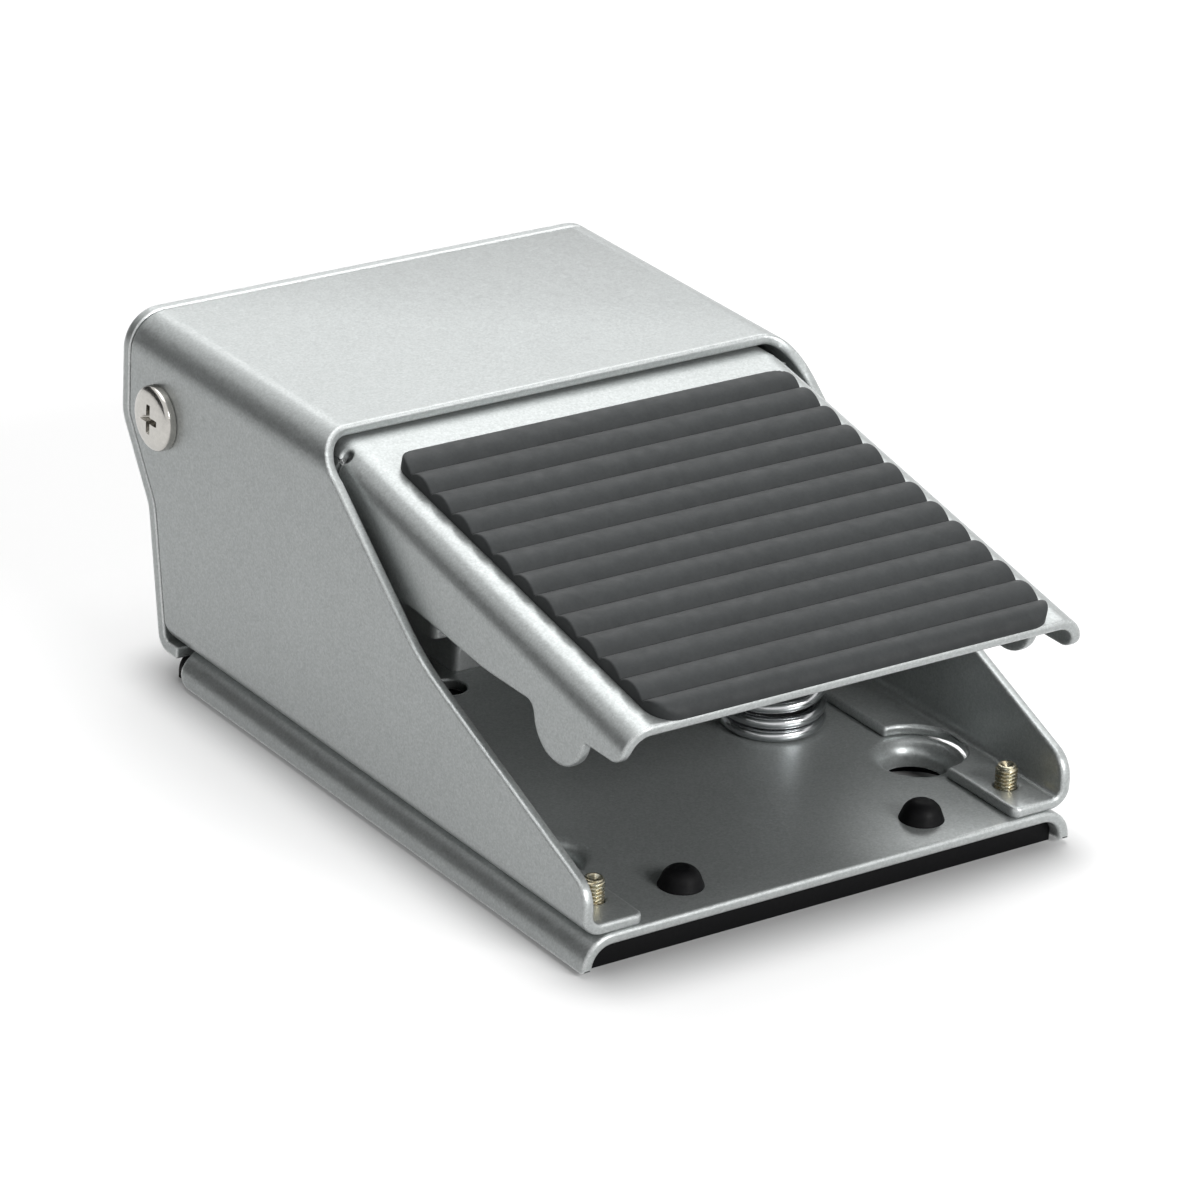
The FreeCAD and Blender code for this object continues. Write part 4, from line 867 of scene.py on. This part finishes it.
def port_sleeve(pitch, radius, depth):
    """A thin sleeve along +Z with a pipe thread inside: in along the thread, back along its outside."""
    angles = np.linspace(0, ROUND, 129)
    ring = np.ones((1, len(angles)))
    rows = np.arange(0, depth, pitch / 10)[:, None]
    crest, root, outside = radius - 0.55 * MM, radius - 0.06 * MM, radius - 0.02 * MM
    threads = thread_radius(rows, angles, -pitch, depth + pitch, pitch, crest, root)
    wide = np.concatenate([ring * outside, threads])
    high = np.concatenate([ring * 0, np.broadcast_to(rows, threads.shape)])
    return turned(*with_rings(wide, high, ((outside, rows[-1]), (outside, 0))), angles)


class PEDALVALVE_OT_valve(bpy.types.Operator):
    """Finishes the valve block, its brass parts and seals, and cuts the threads of the two air ports"""
    bl_idname = "pedalvalve.valve"
    bl_label = "Valve"

    def execute(self, context):
        colours = context.scene.pedal_finish
        alloy = blasted_alloy(colours)
        dressed(alloy, "valve_foot", "valve_body")
        dressed(turned_brass(colours), "valve_gland", "bottom_plug", "valve_spool")
        dressed(seal_rubber(colours), "stem_seal", "plug_seal", "spool_seals")
        pitch = context.scene.pedal_screw.pipe_pitch
        sunk = 0.2 * MM
        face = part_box("valve_body")[1].y - sunk
        sleeves = []
        for mount in frame["record"]["mounts"]:
            if mount["name"] in ("supply_port", "outlet_port"):
                sizes = mount["dims"]
                sleeve = port_sleeve(pitch, sizes["r_mm"] * MM, sizes["length_mm"] * MM - 2 * sunk)
                stand = Matrix.Translation((mount["pos_m"][0], face, mount["pos_m"][2]))
                sleeves.append(stood(sleeve, stand @ Matrix.Rotation(math.pi / 2, 4, "X")))
        ports = closed_mesh("port_threads", sleeves, alloy)
        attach(ports, "frame")
        return {"FINISHED"}


# Stage

def lamp(name, power, size, place):
    """A soft rectangular lamp at a place, facing the object."""
    light = bpy.data.lights.new(name, "AREA")
    light.shape = "RECTANGLE"
    light.size, light.size_y = size
    light.energy = power
    holder = bpy.data.objects.new(name, light)
    holder.location = place
    holder.rotation_euler = (Vector(LAMP_AIM) - Vector(place)).to_track_quat("-Z", "Y").to_euler()
    bpy.context.scene.collection.objects.link(holder)


def flat_piece(name, corners, finish):
    """One face with the given corners."""
    mesh = bpy.data.meshes.new(name)
    mesh.from_pydata(corners, [], [range(len(corners))])
    mesh.materials.append(finish)
    piece = bpy.data.objects.new(name, mesh)
    bpy.context.scene.collection.objects.link(piece)
    return piece


def dark_card(foot, width, height, shade):
    """A dark card that stands on the floor, facing the object. Only mirrored light sees it."""
    across = Vector((foot[1], -foot[0], 0)).normalized() * width / 2
    low, up = Vector((*foot, 0)), Vector((0, 0, height))
    corners = [low - across, low + across, low + across + up, low - across + up]
    finish = Finish("dark card", 0.0, 1.0).done(Base_Color=(shade, shade, shade, 1))
    card = flat_piece("dark_card", corners, finish)
    card.visible_camera = card.visible_diffuse = card.visible_shadow = False


def background_rays(tree):
    """1 for the rays that see the background as it is: from the camera, in mirrors and through glass."""
    rays = tree.nodes.new("ShaderNodeLightPath")
    total = rays.outputs["Is Camera Ray"]
    for name in ("Is Glossy Ray", "Is Transmission Ray"):
        most = tree.nodes.new("ShaderNodeMath")
        most.operation = "MAXIMUM"
        tree.links.new(total, most.inputs[0])
        tree.links.new(rays.outputs[name], most.inputs[1])
        total = most.outputs[0]
    return total


def pale_floor(stage):
    """The floor's colour and its own light, which lets the background be white.

    That light is left out under the object, where nothing lights the floor, and comes back softly round it,
    which paints a soft shadow on the floor round the object."""
    make = Finish("floor", 0.0, 0.9)
    away = make.place
    for operation, value in (("ABSOLUTE", (0, 0, 0)), ("SUBTRACT", (45 * MM, 66 * MM, 0)),
                             ("MAXIMUM", (0, 0, 0)), ("LENGTH", (0, 0, 0))):
        node = make.add("ShaderNodeVectorMath", operation=operation)
        make.join(away, node.inputs[0])
        node.inputs[1].default_value = value
        away = node.outputs["Value" if operation == "LENGTH" else "Vector"]
    rays = make.add("ShaderNodeLightPath")
    total = 0.0
    for ray, reach in (("Is Camera Ray", 18 * MM), ("Is Glossy Ray", 8 * MM),
                       ("Is Transmission Ray", 8 * MM)):
        # painted shadow: the floor's glow fades out over this reach round the object's footprint
        share = make.span(away, 0, reach, 0, 1, "SMOOTHSTEP")
        total = make.sums(total, make.sums(share, rays.outputs[ray], "MULTIPLY"), "MAXIMUM")
    make.join(make.sums(total, stage.glow, "MULTIPLY"), make.shader.inputs["Emission Strength"])
    return make.done(Base_Color=(*stage.floor, 1), Specular_IOR_Level=0.1, Emission_Color=(1, 1, 1, 1))


class PEDALVALVE_OT_stage(bpy.types.Operator):
    """Sets up the floor, the light and the camera"""
    bl_idname = "pedalvalve.stage"
    bl_label = "Stage"

    def execute(self, context):
        stage = context.scene.pedal_stage
        scene = context.scene
        scene.view_settings.view_transform = "Standard"

        world = bpy.data.worlds.new("studio")
        world.use_nodes = True
        scene.world = world
        tree = world.node_tree
        tree.nodes.clear()
        choice = tree.nodes.new("ShaderNodeMixShader")
        tree.links.new(background_rays(tree), choice.inputs[0])
        for index, strength in ((1, stage.sky), (2, 1.0)):
            shade = tree.nodes.new("ShaderNodeBackground")
            shade.inputs["Color"].default_value = (1, 1, 1, 1)
            shade.inputs["Strength"].default_value = strength
            tree.links.new(shade.outputs[0], choice.inputs[index])
        tree.links.new(choice.outputs[0], tree.nodes.new("ShaderNodeOutputWorld").inputs["Surface"])

        half = 6.0
        corners = [(-half, -half, 0), (half, -half, 0), (half, half, 0), (-half, half, 0)]
        floor = flat_piece("floor", corners, pale_floor(stage))

        lamp("overhead lamp", stage.overhead, (1.1, 1.1), (0.15, 0.25, 1.25))
        lamp("front lamp", stage.front, (0.7, 0.5), (0.30, -1.35, 0.75))
        lamp("rear lamp", stage.rear, (1.2, 0.8), (0.78, 1.05, 1.15))
        dark_card(foot=(-0.85, 0.95), width=2.6, height=0.85, shade=0.045)

        camera = bpy.data.cameras.new("photo camera")
        camera.sensor_width = 36
        camera.sensor_fit = "HORIZONTAL"
        camera.lens = stage.lens
        camera.shift_x, camera.shift_y = (pixels / FRAME for pixels in CAMERA_SHIFT)
        camera.clip_start, camera.clip_end = 0.01, 50
        azimuth, height = stage.azimuth, stage.height
        back = Vector((math.sin(azimuth) * math.cos(height), -math.cos(azimuth) * math.cos(height),
                       math.sin(height)))
        right = Vector((math.cos(azimuth), math.sin(azimuth), 0))
        up = back.cross(right)
        rolled_right = right * math.cos(stage.roll) + up * math.sin(stage.roll)
        rolled_up = up * math.cos(stage.roll) - right * math.sin(stage.roll)
        turn = Matrix((rolled_right, rolled_up, back)).transposed().to_4x4()
        holder = bpy.data.objects.new("photo camera", camera)
        holder.matrix_world = Matrix.Translation(Vector(CAMERA_AIM) + back * stage.distance) @ turn
        scene.collection.objects.link(holder)
        scene.camera = holder
        return {"FINISHED"}


class PEDALVALVE_PT_panel(bpy.types.Panel):
    """Lists the pieces of the foot pedal air valve in the sidebar"""
    bl_idname = "PEDALVALVE_PT_panel"
    bl_label = "Foot pedal air valve"
    bl_space_type = "VIEW_3D"
    bl_region_type = "UI"
    bl_category = "Pedal valve"

    def draw(self, context):
        for operator in OPERATORS:
            self.layout.operator(operator.bl_idname)
        for group in SETTINGS:
            box = self.layout.box()
            values = getattr(context.scene, group)
            for name in values.bl_rna.properties.keys():
                if name not in ("rna_type", "name"):
                    box.prop(values, name)


SETTINGS = {"pedal_pad": PadSizes, "pedal_spring": SpringSizes, "pedal_screw": ScrewSizes,
            "pedal_finish": FinishColours, "pedal_stage": StageSettings}
OPERATORS = (PEDALVALVE_OT_sheet_metal, PEDALVALVE_OT_rubber_foot, PEDALVALVE_OT_tread_pad,
             PEDALVALVE_OT_springs, PEDALVALVE_OT_pivot_screws, PEDALVALVE_OT_plate_screws,
             PEDALVALVE_OT_pivot_parts, PEDALVALVE_OT_valve, PEDALVALVE_OT_stage)


def register():
    for item in (*SETTINGS.values(), *OPERATORS, PEDALVALVE_PT_panel):
        bpy.utils.register_class(item)
    for name, group in SETTINGS.items():
        setattr(bpy.types.Scene, name, bpy.props.PointerProperty(type=group))


def unregister():
    for name in SETTINGS:
        delattr(bpy.types.Scene, name)
    for item in (PEDALVALVE_PT_panel, *reversed(OPERATORS), *reversed(SETTINGS.values())):
        bpy.utils.unregister_class(item)


def main():
    register()
    for operator in OPERATORS:
        family, action = operator.bl_idname.split(".")
        getattr(getattr(bpy.ops, family), action)()


if __name__ == "__main__":
    main()
